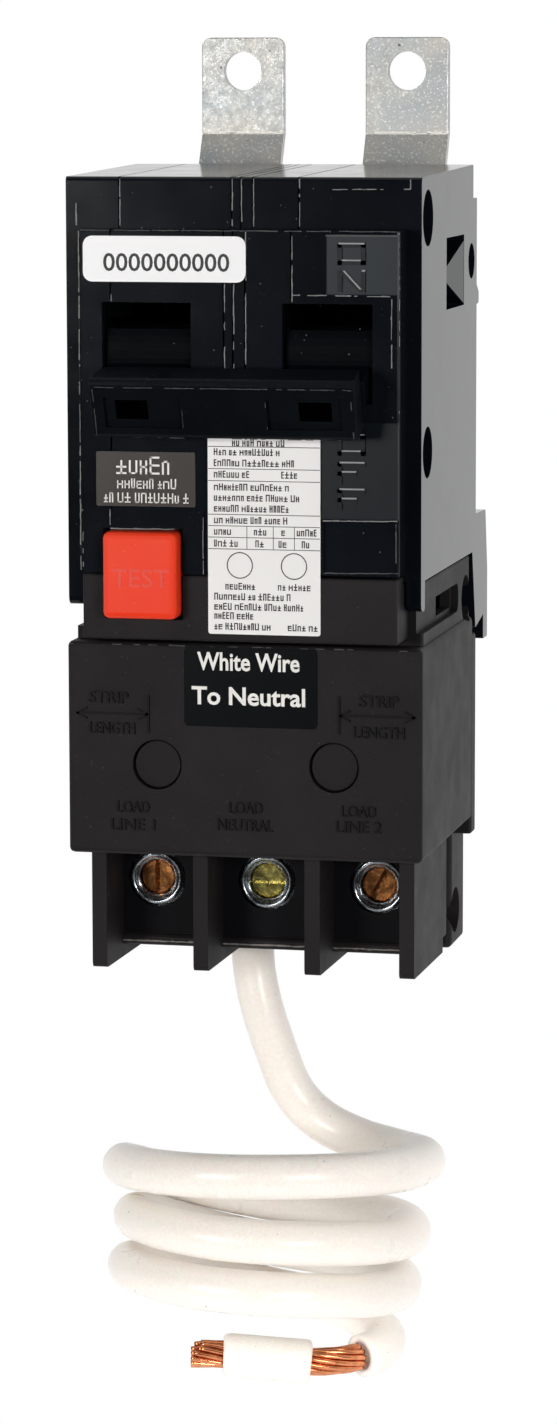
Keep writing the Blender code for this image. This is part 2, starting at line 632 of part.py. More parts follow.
def gfci_cover():
    cover = soften(box("gfci_cover", (COVER_LEFT, COVER_FRONT, COVER_BOTTOM),
                       (COVER_RIGHT, COVER_BACK, COVER_TOP)), 0.8, 3)
    upper = soften(box("upper", (-25.1, FRONT + 3.3, COVER_TOP - 3.0), (25.1, COVER_BACK, 53.5)), 0.4)
    neck = soften(box("neck", (FACE_LEFT + GAP, FACE_FRONT, COVER_TOP + 1.0),
                      (FACE_RIGHT - GAP, FRONT + 4.0, 53.5)), 0.3)
    lip = soften(box("lip", (FACE_LEFT + GAP, FACE_FRONT, 50.0), (FACE_RIGHT - GAP, FRONT - GAP, NECK_TOP)), 0.3)
    fuse(cover, upper, neck, lip)
    hollow = box("hollow", (-24.0, COVER_FRONT + WALL, 10.0), (24.0, COVER_BACK + 2.0, 41.3))
    upper_hollow = box("upper_hollow", (-23.5, FRONT + 5.0, 40.0), (23.5, COVER_BACK - WALL, 52.0))
    neck_hollow = box("neck_hollow", (FACE_LEFT + 2.0, FACE_FRONT + WALL, 47.1),
                      (FACE_RIGHT - 2.0, FRONT + 6.0, 52.0))
    fuse(upper_hollow, neck_hollow)
    y, z, radius, depth = MODULE_RIVET
    for side in (-1, 1):
        boss = rod("boss", "x", (side * 25.0, y, z), side * (25.1 - depth - 1.2), radius + 1.2, 20)
        ledge = box("ledge", (min(side * 22.6, side * 24.0), -54.5, 45.2),
                    (max(side * 22.6, side * 24.0), -14.0, 51.4))
        carve(upper_hollow, boss, ledge)
    carve(cover, hollow, upper_hollow, button_hole(), *module_wells())
    for side in (-1, 1):
        carve(cover, *side_groove(side))
    carve(cover, plunger_hole(50.0, 56.0),
          *[load_slot(side, 51.0, 55.0) for side in POLE_X])
    for x, z in PLUG_AT.values():
        carve(cover, rod("plug_hole", "y", (x, COVER_FRONT - 1.0, z), COVER_FRONT + 3.0, PLUG_R + 0.15, 32))
    return finish(cover, MODULE)


def gfci_back_plate():
    plate = soften(box("gfci_back_plate", (-25.5, COVER_BACK + GAP, 11.5), (25.5, BACK, 41.5)), 0.4)
    rib = box("pocket", (-18.0, BACK - 1.2, 18.0), (18.0, BACK + 1.0, 36.0))
    return finish(carve(plate, rib), MODULE)


def cover_plug(side):
    x, z = PLUG_AT[side]
    plug = rod("cover_plug_" + side, "y", (x, COVER_FRONT + 0.6, z), COVER_FRONT + 2.2, PLUG_R, 32)
    return finish(soften(plug, 0.2, 1), MODULE)


def test_button():
    button = soften(box("test_button", BUTTON_LOW, BUTTON_HIGH), 0.9, 3)
    x, z = BUTTON_STEM
    fuse(button, rod("stem", "y", (x, -58.2, z), -49.5, 1.3, 16))
    return finish(button, RED)


def test_contact():
    leaf = box("test_contact", (-15.0, -47.2, 42.6), (-10.3, -46.7, 51.6))
    return finish(leaf, COPPER)


def circuit_board():
    board = box("circuit_board", (-22.0, -17.0, 20.6), (22.0, -15.5, 41.0))
    chips = [(-18.0, 25.0, 6.0, 8.0, 2.0), (-6.0, 33.0, 9.0, 4.0, 1.6), (8.0, 24.0, 5.0, 5.0, 3.0),
             (14.0, 33.5, 4.0, 6.0, 2.4)]
    for x, z, width, height, thick in chips:
        fuse(board, box("chip", (x, -17.0 - thick, z), (x + width, -16.5, z + height)))
    return finish(board, BOARD)


def current_transformer():
    bm = bmesh.new()
    ring, tube, around, section = 9.0, 3.3, 24, 8
    loop = [bm.verts.new(((ring + tube * math.cos(a)) * MM, 0.0, tube * math.sin(a) * MM))
            for a in [2 * math.pi * k / section for k in range(section)]]
    edges = [bm.edges.new((loop[k], loop[(k + 1) % section])) for k in range(section)]
    bmesh.ops.spin(bm, geom=loop + edges, cent=(0, 0, 0), axis=(0, 0, 1), angle=2 * math.pi,
                   steps=around, use_merge=True)
    bmesh.ops.remove_doubles(bm, verts=bm.verts, dist=1e-6)
    bmesh.ops.translate(bm, verts=bm.verts, vec=Vector((0.0, -31.5, 31.0)) * MM)
    return finish(from_bmesh("current_transformer", bm), FERRITE)


def solenoid():
    x, y = PLUNGER
    coil = rod("solenoid", "z", (x, y, 29.5), 41.5, 4.4, 24)
    for low, high in ((29.0, 30.4), (40.6, 42.0)):
        fuse(coil, box("flange", (x - 4.8, y - 4.9, low), (x + 4.8, y + 4.9, high)))
    return finish(carve(coil, rod("bore", "z", (x, y, 27.0), 44.0, 1.9, 16)), COPPER)


def solenoid_plunger():
    x, y = PLUNGER
    return finish(rod("solenoid_plunger", "z", (x, y, 31.0), 58.5, 1.5, 16), STEEL, (x, y, 44.0))


def load_strap(side):
    lug, pole = LUG_X[side], POLE_X[side]
    inner = math.copysign(3.2, pole)
    path = [(lug, 14.3), (lug, 19.5), (inner, 24.5), (inner, 38.5), (pole, 44.5), (pole, 57.3)]
    return finish(prism("load_strap_" + side, "xz", ribbon(path, 1.2), -32.0, -28.0), COPPER)


def neutral_link():
    return finish(box("neutral_link", (-0.6, -32.0, 14.3), (0.6, -28.0, 41.0)), COPPER)


def module_rivet(name, y, z, reach, radius):
    shank = rod(name, "x", (-reach - 0.7, y, z), reach + 0.7, 1.7, 16)
    for side in (-1, 1):
        fuse(shank, soften(rod("head", "x", (side * (reach + 0.3), y, z), side * (reach + 1.2), radius, 18), 0.3, 1))
    return finish(shank, STEEL)


# ---------------------------------------------------------------- terminal base

def gfci_base():
    base = box("gfci_base", (-BASE_HALF, BASE_FRONT, BASE_BOTTOM), (BASE_HALF, -24.0, 20.0))
    soften(base, 0.3)
    pieces = [box("middle", (-21.2, -25.0, -4.3), (21.2, -14.6, 20.0)),
              box("bridge", (-21.2, -15.0, -4.3), (21.2, -10.0, 11.2)),
              soften(box("column", (-22.0, -11.0, -6.6), (22.0, 0.0, 11.2)), 0.8, 3),
              box("roof", (-BASE_HALF, BARRIER_FRONT, 17.6), (BASE_HALF, -39.0, 20.0)),
              rod("ledge", "x", (-BASE_HALF + 0.5, BASE_FRONT + 0.2, -1.1), BASE_HALF - 0.5, 0.95, 16)]
    fuse(base, *pieces)
    for low, high in BARRIERS:
        profile = rounded([(BARRIER_FRONT, 19.5), (BARRIER_FRONT, -3.7, 0.8), (-27.0, -4.1), (-26.0, 19.5)])
        fuse(base, soften(prism("barrier", "yz", profile, low, high), 0.2, 1))
    for x, (left, right) in zip(LUG_X.values(), ((-22.0, -9.5), (-5.7, 6.8), (10.7, 22.0))):
        carve(base, box("cell", (left, -38.2, 1.0), (right, -25.6, 22.0)),
              rod("screw_well", "y", (x, -41.5, SCREW_Z), -37.5, 4.3, 28),
              box("wire_way", (x - 4.0, -34.0, -6.0), (x + 4.0, -27.6, 2.0)))
    carve(base, box("rear_cell", (-19.6, -23.6, 1.0), (19.6, -16.2, 22.0)),
          box("column_cell", (-17.0, -13.0, 2.0), (17.0, -2.5, 13.0)),
          rod("wire_hole", "z", (*WIRE_EXIT, -6.0), 3.0, WIRE_R + 0.35, 24))
    y, z, radius, depth = BASE_RIVET
    wells = [rod("rivet_hole", "x", (-24.0, y, z), 24.0, 2.0, 16)]
    for side in (-1, 1):
        wells.append(rod("well", "x", (side * 24.0, y, z), side * (22.0 - depth), radius, 28))
    return finish(carve(base, *wells), MODULE)


def terminal_lug(side):
    x = LUG_X[side]
    lug = soften(box("lug_" + side, (x - 5.1, -37.9, 1.3), (x + 5.1, -25.9, 14.0)), 0.25)
    fuse(lug, rod("collar", "y", (x, -39.7, SCREW_Z), -37.0, 3.95, 32))
    carve(lug, box("wire_way", (x - 4.0, -35.6, 0.0), (x + 4.0, -27.4, 15.5)),
          rod("bore", "y", (x, -41.0, SCREW_Z), -34.0, 2.7, 28))
    return finish(lug, SILVER)


def clamp_plate(side):
    x = LUG_X[side]
    plate = box("clamp_plate_" + side, (x - 3.7, -35.3, 4.0), (x + 3.7, -34.3, 13.0))
    return finish(fuse(plate, rod("stub", "y", (x, -36.0, SCREW_Z), -35.0, 2.0, 16)), STEEL)


def terminal_screw(side):
    x = LUG_X[side]
    screw = soften(rod("terminal_screw_" + side, "y", (x, -39.2, SCREW_Z), -36.3, SCREW_R, 24), 0.25, 1)
    slot = box("slot", (-0.45, -40.0, -3.5), (0.45, -38.2, 3.5))
    slot.data.transform(Matrix.Rotation(math.radians(SLOT_TURN[side]), 4, "Y"))
    slot.data.transform(Matrix.Translation(Vector((x, 0.0, SCREW_Z)) * MM))
    return finish(carve(screw, slot), BRASS, (x, -37.7, SCREW_Z))


# ---------------------------------------------------------------- neutral pigtail

COIL_RIGHT = Vector((math.cos(COIL_TURN), math.sin(COIL_TURN), 0.0))
COIL_NEAR = Vector((math.sin(COIL_TURN), -math.cos(COIL_TURN), 0.0))


def beside_coil(right, near, height):
    """A point given by its offsets from the coil's axis and its height."""
    return Vector((*COIL_AXIS, height)) + COIL_RIGHT * right + COIL_NEAR * near


def between(values, place):
    """A smooth curve through evenly spaced values, read at a place counted in their steps."""
    index = min(int(place), len(values) - 2)
    t = place - index
    p1, p2 = values[index], values[index + 1]
    p0 = values[index - 1] if index else 2 * p1 - p2
    p3 = values[index + 2] if index + 2 < len(values) else 2 * p2 - p1
    return 0.5 * (2 * p1 + (p2 - p0) * t + (2 * p0 - 5 * p1 + 4 * p2 - p3) * t * t
                  + (3 * p1 - p0 - 3 * p2 + p3) * t ** 3)


def coil_point(turn):
    """The pigtail's centreline at a number of turns from the coil's right side."""
    rights = COIL_SIDES[0::2]
    lefts = COIL_SIDES[1::2]
    right_edge = between(rights, turn)
    left_edge = between(lefts, max(turn - 0.5, 0.0))
    radius = (right_edge - left_edge) / 2
    angle = 2 * math.pi * turn
    return beside_coil((right_edge + left_edge) / 2 + radius * math.cos(angle),
                       radius * math.sin(angle), between(COIL_HEIGHTS, turn * 4))


def smooth_route(points, spacing):
    """Points along a Catmull-Rom curve through the route, about spacing apart."""
    ends = [points[0] * 2 - points[1], *points, points[-1] * 2 - points[-2]]
    path = []
    for index in range(1, len(ends) - 2):
        p0, p1, p2, p3 = ends[index - 1:index + 3]
        steps = max(2, round((p2 - p1).length / spacing))
        for step in range(steps):
            t = step / steps
            path.append(0.5 * (2 * p1 + (p2 - p0) * t + (2 * p0 - 5 * p1 + 4 * p2 - p3) * t * t
                               + (3 * p1 - p0 - 3 * p2 + p3) * t ** 3))
    return path + [points[-1]]


def tube(name, path, radius, mat):
    curve = bpy.data.curves.new(name, "CURVE")
    curve.dimensions = "3D"
    curve.bevel_depth = radius * MM
    curve.bevel_resolution = 2
    curve.use_fill_caps = True
    spline = curve.splines.new("POLY")
    spline.points.add(len(path) - 1)
    for target, point in zip(spline.points, path):
        target.co = (*(point * MM), 1.0)
    return finish(curve_to_mesh(name, curve, Matrix.Identity(4)), mat)


def pigtail_coil():
    """The outer shape of the wound turns: a turned ring on the coil's leaning axis."""
    loop = [coil_point(0.1 + k / 24) for k in range(int(2.6 * 24))]
    centre = sum(loop, Vector()) / len(loop)
    near = (COIL_NEAR + Vector((0, 0, 0.27))).normalized()
    right = COIL_RIGHT - Vector((0, 0, 0.04))
    axis = near.cross(right).normalized()
    frame = Matrix((near, axis.cross(near), axis)).transposed()
    placed = [frame.transposed() @ (point - centre) for point in loop]
    radii = [point.to_2d().length for point in placed]
    heights = [point.z for point in placed]
    inner, outer = min(radii) - WIRE_R - 0.1, max(radii) + WIRE_R + 0.1
    low, high = min(heights) - WIRE_R - 0.1, max(heights) + WIRE_R + 0.1
    profile = [(inner, high), (outer, high), (outer, low), (inner, low)]
    bm = bmesh.new()
    verts = [bm.verts.new((radius * MM, 0.0, z * MM)) for radius, z in profile]
    edges = [bm.edges.new((verts[k], verts[(k + 1) % 4])) for k in range(4)]
    bmesh.ops.spin(bm, geom=verts + edges, cent=(0, 0, 0), axis=(0, 0, 1), angle=2 * math.pi,
                   steps=40, use_merge=True)
    bmesh.ops.remove_doubles(bm, verts=bm.verts, dist=1e-6)
    bm.transform(Matrix.Translation(centre * MM) @ frame.to_4x4())
    return finish(from_bmesh("pigtail_coil", bm), WHITE)


def pigtail():
    """Lead, wound turns, cut end, bared conductor and the sleeve left hanging on it."""
    lead_route = [Vector(p) for p in LEAD_ROUTE] + [beside_coil(*p) for p in LEAD_BEND]
    tail_route = [beside_coil(*p) for p in (*TAIL_ROUTE, TAIL_END)]
    route = [beside_coil(*p) for p in CONDUCTOR_ROUTE]
    lead = tube("pigtail_lead", smooth_route(lead_route, 2.5), WIRE_R, WHITE)
    coil = pigtail_coil()
    tail = tube("pigtail_tail", smooth_route(tail_route, 2.5), WIRE_R, WHITE)
    for piece in (lead, tail):
        carve(piece, swollen(coil))
        finish(piece, WHITE)
    tube("pigtail_conductor", smooth_route(route, 2.5), CONDUCTOR_R, COPPER)
    low, high = route[2].lerp(route[3], 0.02), route[4].lerp(route[3], 0.02)
    sleeve = tube("pigtail_sleeve", [low, low.lerp(high, 0.5), high], WIRE_R, WHITE)
    carve(sleeve, tube("bore", smooth_route(route, 2.5), CONDUCTOR_R + GAP, WHITE))
    finish(sleeve, WHITE)


def swollen(obj):
    """A cutter a clearance larger than a round piece, centred where the piece is."""
    cutter = place("swollen", obj.data.copy())
    points = [vert.co.copy() for vert in obj.data.vertices]
    for vert, point in zip(cutter.data.vertices, points):
        vert.co = point + vert.normal * GAP * MM * 1.2
    return cutter


# ---------------------------------------------------------------- the whole breaker

CASE = case_solid()


def build():
    left_cover()
    left_base()
    spacer("pole_spacer_left", SEAM_LEFT_SPACER, SEAM_MIDDLE)
    spacer("pole_spacer_right", SEAM_MIDDLE, SEAM_RIGHT_SPACER)
    right_cover()
    right_base()
    for which in CASE_RIVETS:
        case_rivet(which)
    for side in POLE_X:
        toggle(side)
        handle_pin(side)
        line_strap(side)
        contact_arm(side)
        arc_chute(side)
        cradle(side)
        bimetal(side)
        magnet_yoke(side)
        armature(side)
        load_strap(side)
        cover_plug(side)
    handle_tie()
    trip_bar()
    gfci_cover()
    gfci_back_plate()
    gfci_base()
    test_button()
    test_contact()
    circuit_board()
    current_transformer()
    solenoid()
    solenoid_plunger()
    neutral_link()
    module_rivet("module_rivet_upper", MODULE_RIVET[0], MODULE_RIVET[1], 25.1 - MODULE_RIVET[3], 2.9)
    module_rivet("module_rivet_lower", BASE_RIVET[0], BASE_RIVET[1], 22.0 - BASE_RIVET[3], 2.9)
    for side in LUG_X:
        terminal_lug(side)
        clamp_plate(side)
        terminal_screw(side)
    pigtail()
    bpy.data.objects.remove(CASE, do_unlink=True)


build()
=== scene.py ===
"""Looks of a two-pole ground-fault breaker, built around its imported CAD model."""
import json
import math
import random

import bmesh
import bpy
from mathutils import Matrix, Vector


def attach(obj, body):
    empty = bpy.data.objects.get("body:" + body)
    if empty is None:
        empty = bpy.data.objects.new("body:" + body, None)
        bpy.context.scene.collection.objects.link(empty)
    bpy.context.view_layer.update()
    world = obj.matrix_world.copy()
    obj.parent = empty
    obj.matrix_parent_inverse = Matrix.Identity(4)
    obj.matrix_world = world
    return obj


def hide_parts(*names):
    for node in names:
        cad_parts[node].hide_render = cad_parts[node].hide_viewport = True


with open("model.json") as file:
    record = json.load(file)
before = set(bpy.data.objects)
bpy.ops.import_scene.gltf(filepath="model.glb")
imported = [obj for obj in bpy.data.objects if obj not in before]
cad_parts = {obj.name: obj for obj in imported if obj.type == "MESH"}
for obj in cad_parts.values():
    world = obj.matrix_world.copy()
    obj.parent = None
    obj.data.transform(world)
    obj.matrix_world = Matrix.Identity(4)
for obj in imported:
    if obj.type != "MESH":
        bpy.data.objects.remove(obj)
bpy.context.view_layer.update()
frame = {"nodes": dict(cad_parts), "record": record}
MM = 0.001
ROOT = "breaker_body"

# Places on the CAD model, in millimetres: its front planes, joints, screws and tabs
FACE, SHOULDER, COVER = -60.2, -55.0, -55.6
COVER_EDGE = 44.1
SEAMS = (-17.7, -1.56, -0.25, 1.47, 8.01)
SCREW_X, SCREW_Z = {"left": -16.4, "middle": 0.0, "right": 16.5}, 8.0
TAB_X, TAB_HALF = {"left": -12.5, "right": 12.7}, 6.15
CELLS = {"left": (-21.4, -8.75), "middle": (-6.45, 7.55), "right": (9.95, 21.35)}
HANDLE_AXIS, TIE_RADIUS, HANDLE_REST = Vector((0.0, -49.0, 85.7)), 20.1, math.radians(21.6)
BUTTON_FRONT = -63.2

# How far flat pieces stand off the surface behind them, so that none share a plane
LABEL_LIFT, LABEL_THICK, PRINT_LIFT = 0.10, 0.08, 0.115


# ---------------------------------------------------------------- stage, light and camera

def new_object(name, mesh):
    obj = bpy.data.objects.new(name, mesh)
    bpy.context.scene.collection.objects.link(obj)
    return obj


# The stage, the lights and the camera are in metres.
# The floor lies just under the coil.
FLOOR_Z = -0.0672
WALL_START, WALL_BEND, WALL_TOP = 8.0, 2.0, 9.0
GLOW_FRONT, GLOW_REACH = -0.13, 3.0


def white_surface(name, bm):
    """A stage piece that is plain white by its own light and throws no reflection back."""
    mesh = bpy.data.meshes.new(name)
    bm.to_mesh(mesh)
    bm.free()
    mesh.shade_smooth()
    paint = bpy.data.materials.new(name + "_paint")
    paint.use_nodes = True
    shader = paint.node_tree.nodes["Principled BSDF"]
    shader.inputs["Base Color"].default_value = (0.0, 0.0, 0.0, 1.0)
    shader.inputs["Roughness"].default_value = 0.9
    shader.inputs["Specular IOR Level"].default_value = 0.0
    shader.inputs["Emission Color"].default_value = (1.0, 1.0, 1.0, 1.0)
    shader.inputs["Emission Strength"].default_value = 1.0
    mesh.materials.append(paint)
    obj = new_object(name, mesh)
    return obj


def studio_floor():
    """A pale floor that curves up into a wall all round, and a strip of floor that lights the part."""
    bm = bmesh.new()
    profile = [(0.01, 0.0)]
    for step in range(10):
        a = math.radians(10 * step)
        profile.append((WALL_START + WALL_BEND * math.sin(a), WALL_BEND * (1.0 - math.cos(a))))
    profile.append((WALL_START + WALL_BEND, WALL_TOP))
    sides = 48
    rings = [[bm.verts.new((r * math.cos(a), r * math.sin(a), z + FLOOR_Z - 0.001))
              for a in [2 * math.pi * k / sides for k in range(sides)]] for r, z in profile]
    bm.faces.new(rings[0])
    for inner, outer in zip(rings, rings[1:]):
        for k in range(sides):
            bm.faces.new((inner[k - 1], inner[k], outer[k], outer[k - 1]))
    floor = white_surface("studio_floor", bm)
    floor.visible_diffuse = floor.visible_glossy = False
    floor.visible_transmission = floor.visible_shadow = False
    bm = bmesh.new()
    corners = ((-GLOW_REACH, GLOW_FRONT), (GLOW_REACH, GLOW_FRONT), (GLOW_REACH, GLOW_REACH),
               (-GLOW_REACH, GLOW_REACH))
    bm.faces.new([bm.verts.new((x, y, FLOOR_Z)) for x, y in corners])
    white_surface("studio_floor_behind", bm)


def area_light(name, place, target, size, power, tint=(1.0, 1.0, 1.0)):
    light = bpy.data.lights.new(name, "AREA")
    light.shape = "RECTANGLE"
    light.size, light.size_y = size
    light.energy = power
    light.color = tint
    obj = new_object(name, light)
    obj.location = place
    obj.rotation_euler = (Vector(target) - Vector(place)).to_track_quat("-Z", "Y").to_euler()


def lighting():
    """A room that is dark behind the viewer and bright behind the part, and four soft lights."""
    world = bpy.data.worlds.new("studio")
    world.use_nodes = True
    tree = world.node_tree
    back = tree.nodes["Background"]
    back.inputs["Strength"].default_value = 1.0
    coords = tree.nodes.new("ShaderNodeTexCoord")
    axes = tree.nodes.new("ShaderNodeSeparateXYZ")
    shade = tree.nodes.new("ShaderNodeValToRGB")
    tree.links.new(coords.outputs["Generated"], axes.inputs["Vector"])
    tree.links.new(axes.outputs["Y"], shade.inputs["Fac"])
    tree.links.new(shade.outputs["Color"], back.inputs["Color"])
    stops = ((0.0, 0.035), (0.20, 0.35), (0.42, 1.0))
    elements = shade.color_ramp.elements
    elements.new(0.5)
    for element, (place, value) in zip(elements, stops):
        element.position = place
        element.color = (value, value, value, 1.0)
    bpy.context.scene.world = world
    middle, case = (0.0, -0.03, 0.0), (0.0, 0.0, 0.03)
    area_light("key_left", (-0.45, -0.95, 0.15), middle, (0.30, 0.18), 5.2, (1.0, 0.975, 0.95))
    area_light("key_right", (0.58, -0.86, 0.15), middle, (0.26, 0.18), 4.2, (1.0, 0.975, 0.96))
    area_light("side", (0.9, -0.1, 0.30), case, (0.6, 0.6), 1.2)
    area_light("top", (-0.05, -0.25, 0.95), case, (0.5, 0.4), 0.9)
    bpy.context.scene.view_settings.view_transform = "Standard"


# The camera's focal length, in heights of the frame
FOCAL_HEIGHTS = 3.230337078651685


def camera():
    data = bpy.data.cameras.new("camera")
    data.sensor_width = 36.0
    data.lens = FOCAL_HEIGHTS * data.sensor_width
    data.clip_start = 0.01
    cam = new_object("camera", data)
    right = Vector((0.97726568, 0.21200953, -0.001937))
    up = Vector((-0.0276698, 0.13659221, 0.99024085))
    forward = Vector((-0.21020507, 0.96767481, -0.13935314))
    matrix = Matrix((right, up, -forward)).transposed().to_4x4()
    matrix.translation = (0.14136, -0.68272, 0.12544)
    cam.matrix_world = matrix
    bpy.context.scene.camera = cam


studio_floor()
lighting()
camera()


# ---------------------------------------------------------------- procedural materials

class Shader:
    """A Principled material with small helpers for its node tree."""

    def __init__(self, name, colour, roughness, metallic=0.0, **sockets):
        self.mat = bpy.data.materials.new(name)
        self.mat.use_nodes = True
        self.tree = self.mat.node_tree
        self.bsdf = self.tree.nodes["Principled BSDF"]
        self.bsdf.inputs["Base Color"].default_value = (*colour, 1.0)
        self.bsdf.inputs["Roughness"].default_value = roughness
        self.bsdf.inputs["Metallic"].default_value = metallic
        for socket, value in sockets.items():
            self.bsdf.inputs[socket.replace("_", " ")].default_value = value
        self.coords = self.tree.nodes.new("ShaderNodeTexCoord").outputs["Object"]

    def node(self, kind, **values):
        node = self.tree.nodes.new("ShaderNode" + kind)
        for key, value in values.items():
            if key in node.inputs:
                node.inputs[key].default_value = value
            else:
                setattr(node, key, value)
        return node

    def link(self, source, target):
        self.tree.links.new(source, target)

    def noise(self, scale, detail=3.0, roughness=0.55):
        noise = self.node("TexNoise", Scale=scale, Detail=detail, Roughness=roughness)
        self.link(self.coords, noise.inputs["Vector"])
        return noise.outputs["Fac"]

    def ramp(self, source, *stops):
        """Colours or greys along a 0 to 1 source."""
        ramp = self.node("ValToRGB")
        elements = ramp.color_ramp.elements
        while len(elements) < len(stops):
            elements.new(0.5)
        for element, (place, value) in zip(elements, stops):
            element.position = place
            element.color = (*value, 1.0) if isinstance(value, tuple) else (value, value, value, 1.0)
        self.link(source, ramp.inputs["Fac"])
        return ramp.outputs["Color"]

    def mix(self, factor, a, b):
        mix = self.node("Mix", data_type="RGBA")
        for socket, value in ((mix.inputs[0], factor), (mix.inputs[6], a), (mix.inputs[7], b)):
            if isinstance(value, tuple):
                socket.default_value = (*value, 1.0)
            elif isinstance(value, float):
                socket.default_value = value
            else:
                self.link(value, socket)
        return mix.outputs[2]

    def colour(self, source):
        self.link(source, self.bsdf.inputs["Base Color"])
        return self

    def roughness(self, source, low, high):
        self.link(self.ramp(source, (0.3, low), (0.7, high)), self.bsdf.inputs["Roughness"])
        return self

    def bump(self, source, strength, distance=0.0002):
        bump = self.node("Bump", Strength=strength, Distance=distance)
        self.link(source, bump.inputs["Height"])
        if self.bsdf.inputs["Normal"].is_linked:
            self.link(self.bsdf.inputs["Normal"].links[0].from_socket, bump.inputs["Normal"])
        self.link(bump.outputs["Normal"], self.bsdf.inputs["Normal"])
        return self


def moulding(name, dark, light, rough, grain, gloss=0.5):
    """Moulded plastic: fine grain, faint cloudiness and scattered dust."""
    s = Shader(name, dark, rough[0], Specular_IOR_Level=gloss)
    clouds = s.noise(60.0, 4.0)
    dust = s.ramp(s.noise(2600.0, 2.0), (0.70, 0.0), (0.78, 1.0))
    base = s.mix(s.ramp(clouds, (0.35, 0.0), (0.7, 1.0)), dark, light)
    s.colour(s.mix(dust, base, tuple(min(1.0, c * 3.0 + 0.01) for c in light)))
    s.roughness(s.noise(180.0, 4.0), *rough)
    return s.bump(s.noise(2200.0, 3.0), grain, 0.00006)


def metal(name, colour, shade, rough, scale=500.0, bump=0.15):
    """Metal that drifts between two tones, with a fine uneven gloss."""
    s = Shader(name, colour, rough[0], 1.0)
    s.colour(s.mix(s.ramp(s.noise(scale, 4.0, 0.6), (0.35, 0.0), (0.65, 1.0)), colour, shade))
    s.roughness(s.noise(scale * 1.7, 3.0), *rough)
    return s.bump(s.noise(scale * 2.0, 3.0, 0.6), bump, 0.00008)


CASE = moulding("case_black", (0.0035, 0.0048, 0.0072), (0.0060, 0.0080, 0.0115), (0.11, 0.15), 0.03, 0.12)
MODULE = moulding("module_black", (0.0108, 0.0094, 0.0108), (0.0146, 0.0128, 0.0142),
                  (0.52, 0.62), 0.22, 0.14)
# Dark plastic for thin walls behind the screws: painted shade under the overhanging cover.
CELL_SHADE = moulding("recess_painted_shade", (0.0042, 0.0046, 0.0060), (0.0058, 0.0060, 0.0076),
                     (0.45, 0.55), 0.10, 0.06)
RED = moulding("button_red", (0.87, 0.040, 0.009), (0.89, 0.052, 0.014), (0.36, 0.48), 0.12, 0.25)
HANDLE = moulding("handle_black", (0.0026, 0.0036, 0.0050), (0.0044, 0.0058, 0.0078),
                  (0.26, 0.36), 0.04, 0.08)
# The toggle drums are painted darker than the handle plastic: painted shade inside the handle window.
DRUM_SHADED = moulding("drum_painted_shade", (0.0016, 0.0024, 0.0034), (0.0026, 0.0036, 0.0048), (0.40, 0.50), 0.04, 0.02)
# Near black for the floors of the tie's finger pockets: painted shade.
POCKET_SHADE = moulding("pocket_painted_shade", (0.0003, 0.0003, 0.0004), (0.0004, 0.0004, 0.0005), (0.8, 0.9), 0.0, 0.0)
BOARD = moulding("circuit_board", (0.012, 0.11, 0.045), (0.016, 0.15, 0.06), (0.35, 0.5), 0.1)
FERRITE = moulding("ferrite", (0.03, 0.03, 0.035), (0.05, 0.05, 0.055), (0.5, 0.65), 0.2)
FIBRE = moulding("arc_fibre", (0.26, 0.11, 0.05), (0.33, 0.16, 0.08), (0.6, 0.75), 0.3)


def zinc():
    """Spangled zinc plate: dull grey with fine bright flecks and a few dark pits."""
    s = Shader("zinc_strap", (0.5, 0.5, 0.5), 0.4, 0.35)
    clouds = s.ramp(s.noise(120.0, 3.0), (0.35, 0.0), (0.65, 1.0))
    base = s.mix(clouds, (0.42, 0.415, 0.385), (0.33, 0.36, 0.375))
    flecks = s.ramp(s.noise(2800.0, 2.0, 0.7), (0.55, 0.0), (0.66, 1.0))
    pits = s.ramp(s.noise(900.0, 2.0), (0.70, 0.0), (0.76, 1.0))
    s.colour(s.mix(pits, s.mix(flecks, base, (0.66, 0.65, 0.62)), (0.12, 0.10, 0.085)))
    s.roughness(s.noise(700.0, 3.0), 0.28, 0.48)
    return s.bump(s.noise(1100.0, 3.0), 0.25, 0.00008)


ZINC = zinc()
SILVER = metal("lug_silver", (0.74, 0.76, 0.78), (0.50, 0.52, 0.55), (0.16, 0.34), 600.0, 0.1)
BRASS = metal("screw_brass", (0.66, 0.46, 0.20), (0.42, 0.26, 0.10), (0.22, 0.42), 900.0, 0.15)
YELLOW = metal("screw_zinc_yellow", (0.70, 0.60, 0.17), (0.40, 0.36, 0.12), (0.16, 0.32), 500.0, 0.3)
BRONZE = metal("screw_bronze", (0.80, 0.34, 0.12), (0.42, 0.17, 0.06), (0.16, 0.32), 500.0, 0.3)
RIM = metal("collar_rim", (0.46, 0.50, 0.54), (0.28, 0.31, 0.34), (0.18, 0.32), 500.0, 0.3)
COPPER = metal("copper", (0.88, 0.36, 0.17), (0.58, 0.19, 0.08), (0.16, 0.28), 500.0, 0.03)
STEEL = metal("spring_steel", (0.42, 0.43, 0.45), (0.30, 0.31, 0.32), (0.28, 0.42))


def wire_insulation():
    """Cream insulation with a fine grain and a few specks of dirt."""
    s = Shader("wire_white", (0.80, 0.775, 0.735), 0.3, Subsurface_Weight=0.08, Subsurface_Scale=0.002)
    tint = s.ramp(s.noise(60.0, 4.0), (0.35, 0.0), (0.75, 1.0))
    grain = s.ramp(s.noise(2400.0, 2.0), (0.40, 0.0), (0.62, 1.0))
    specks = s.ramp(s.noise(1300.0, 1.0), (0.79, 0.0), (0.82, 1.0))
    base = s.mix(tint, (0.955, 0.895, 0.825), (0.930, 0.860, 0.785))
    base = s.mix(grain, base, (0.975, 0.932, 0.875))
    s.colour(s.mix(specks, base, (0.42, 0.37, 0.32)))
    return s.roughness(s.noise(150.0, 3.0), 0.26, 0.36)


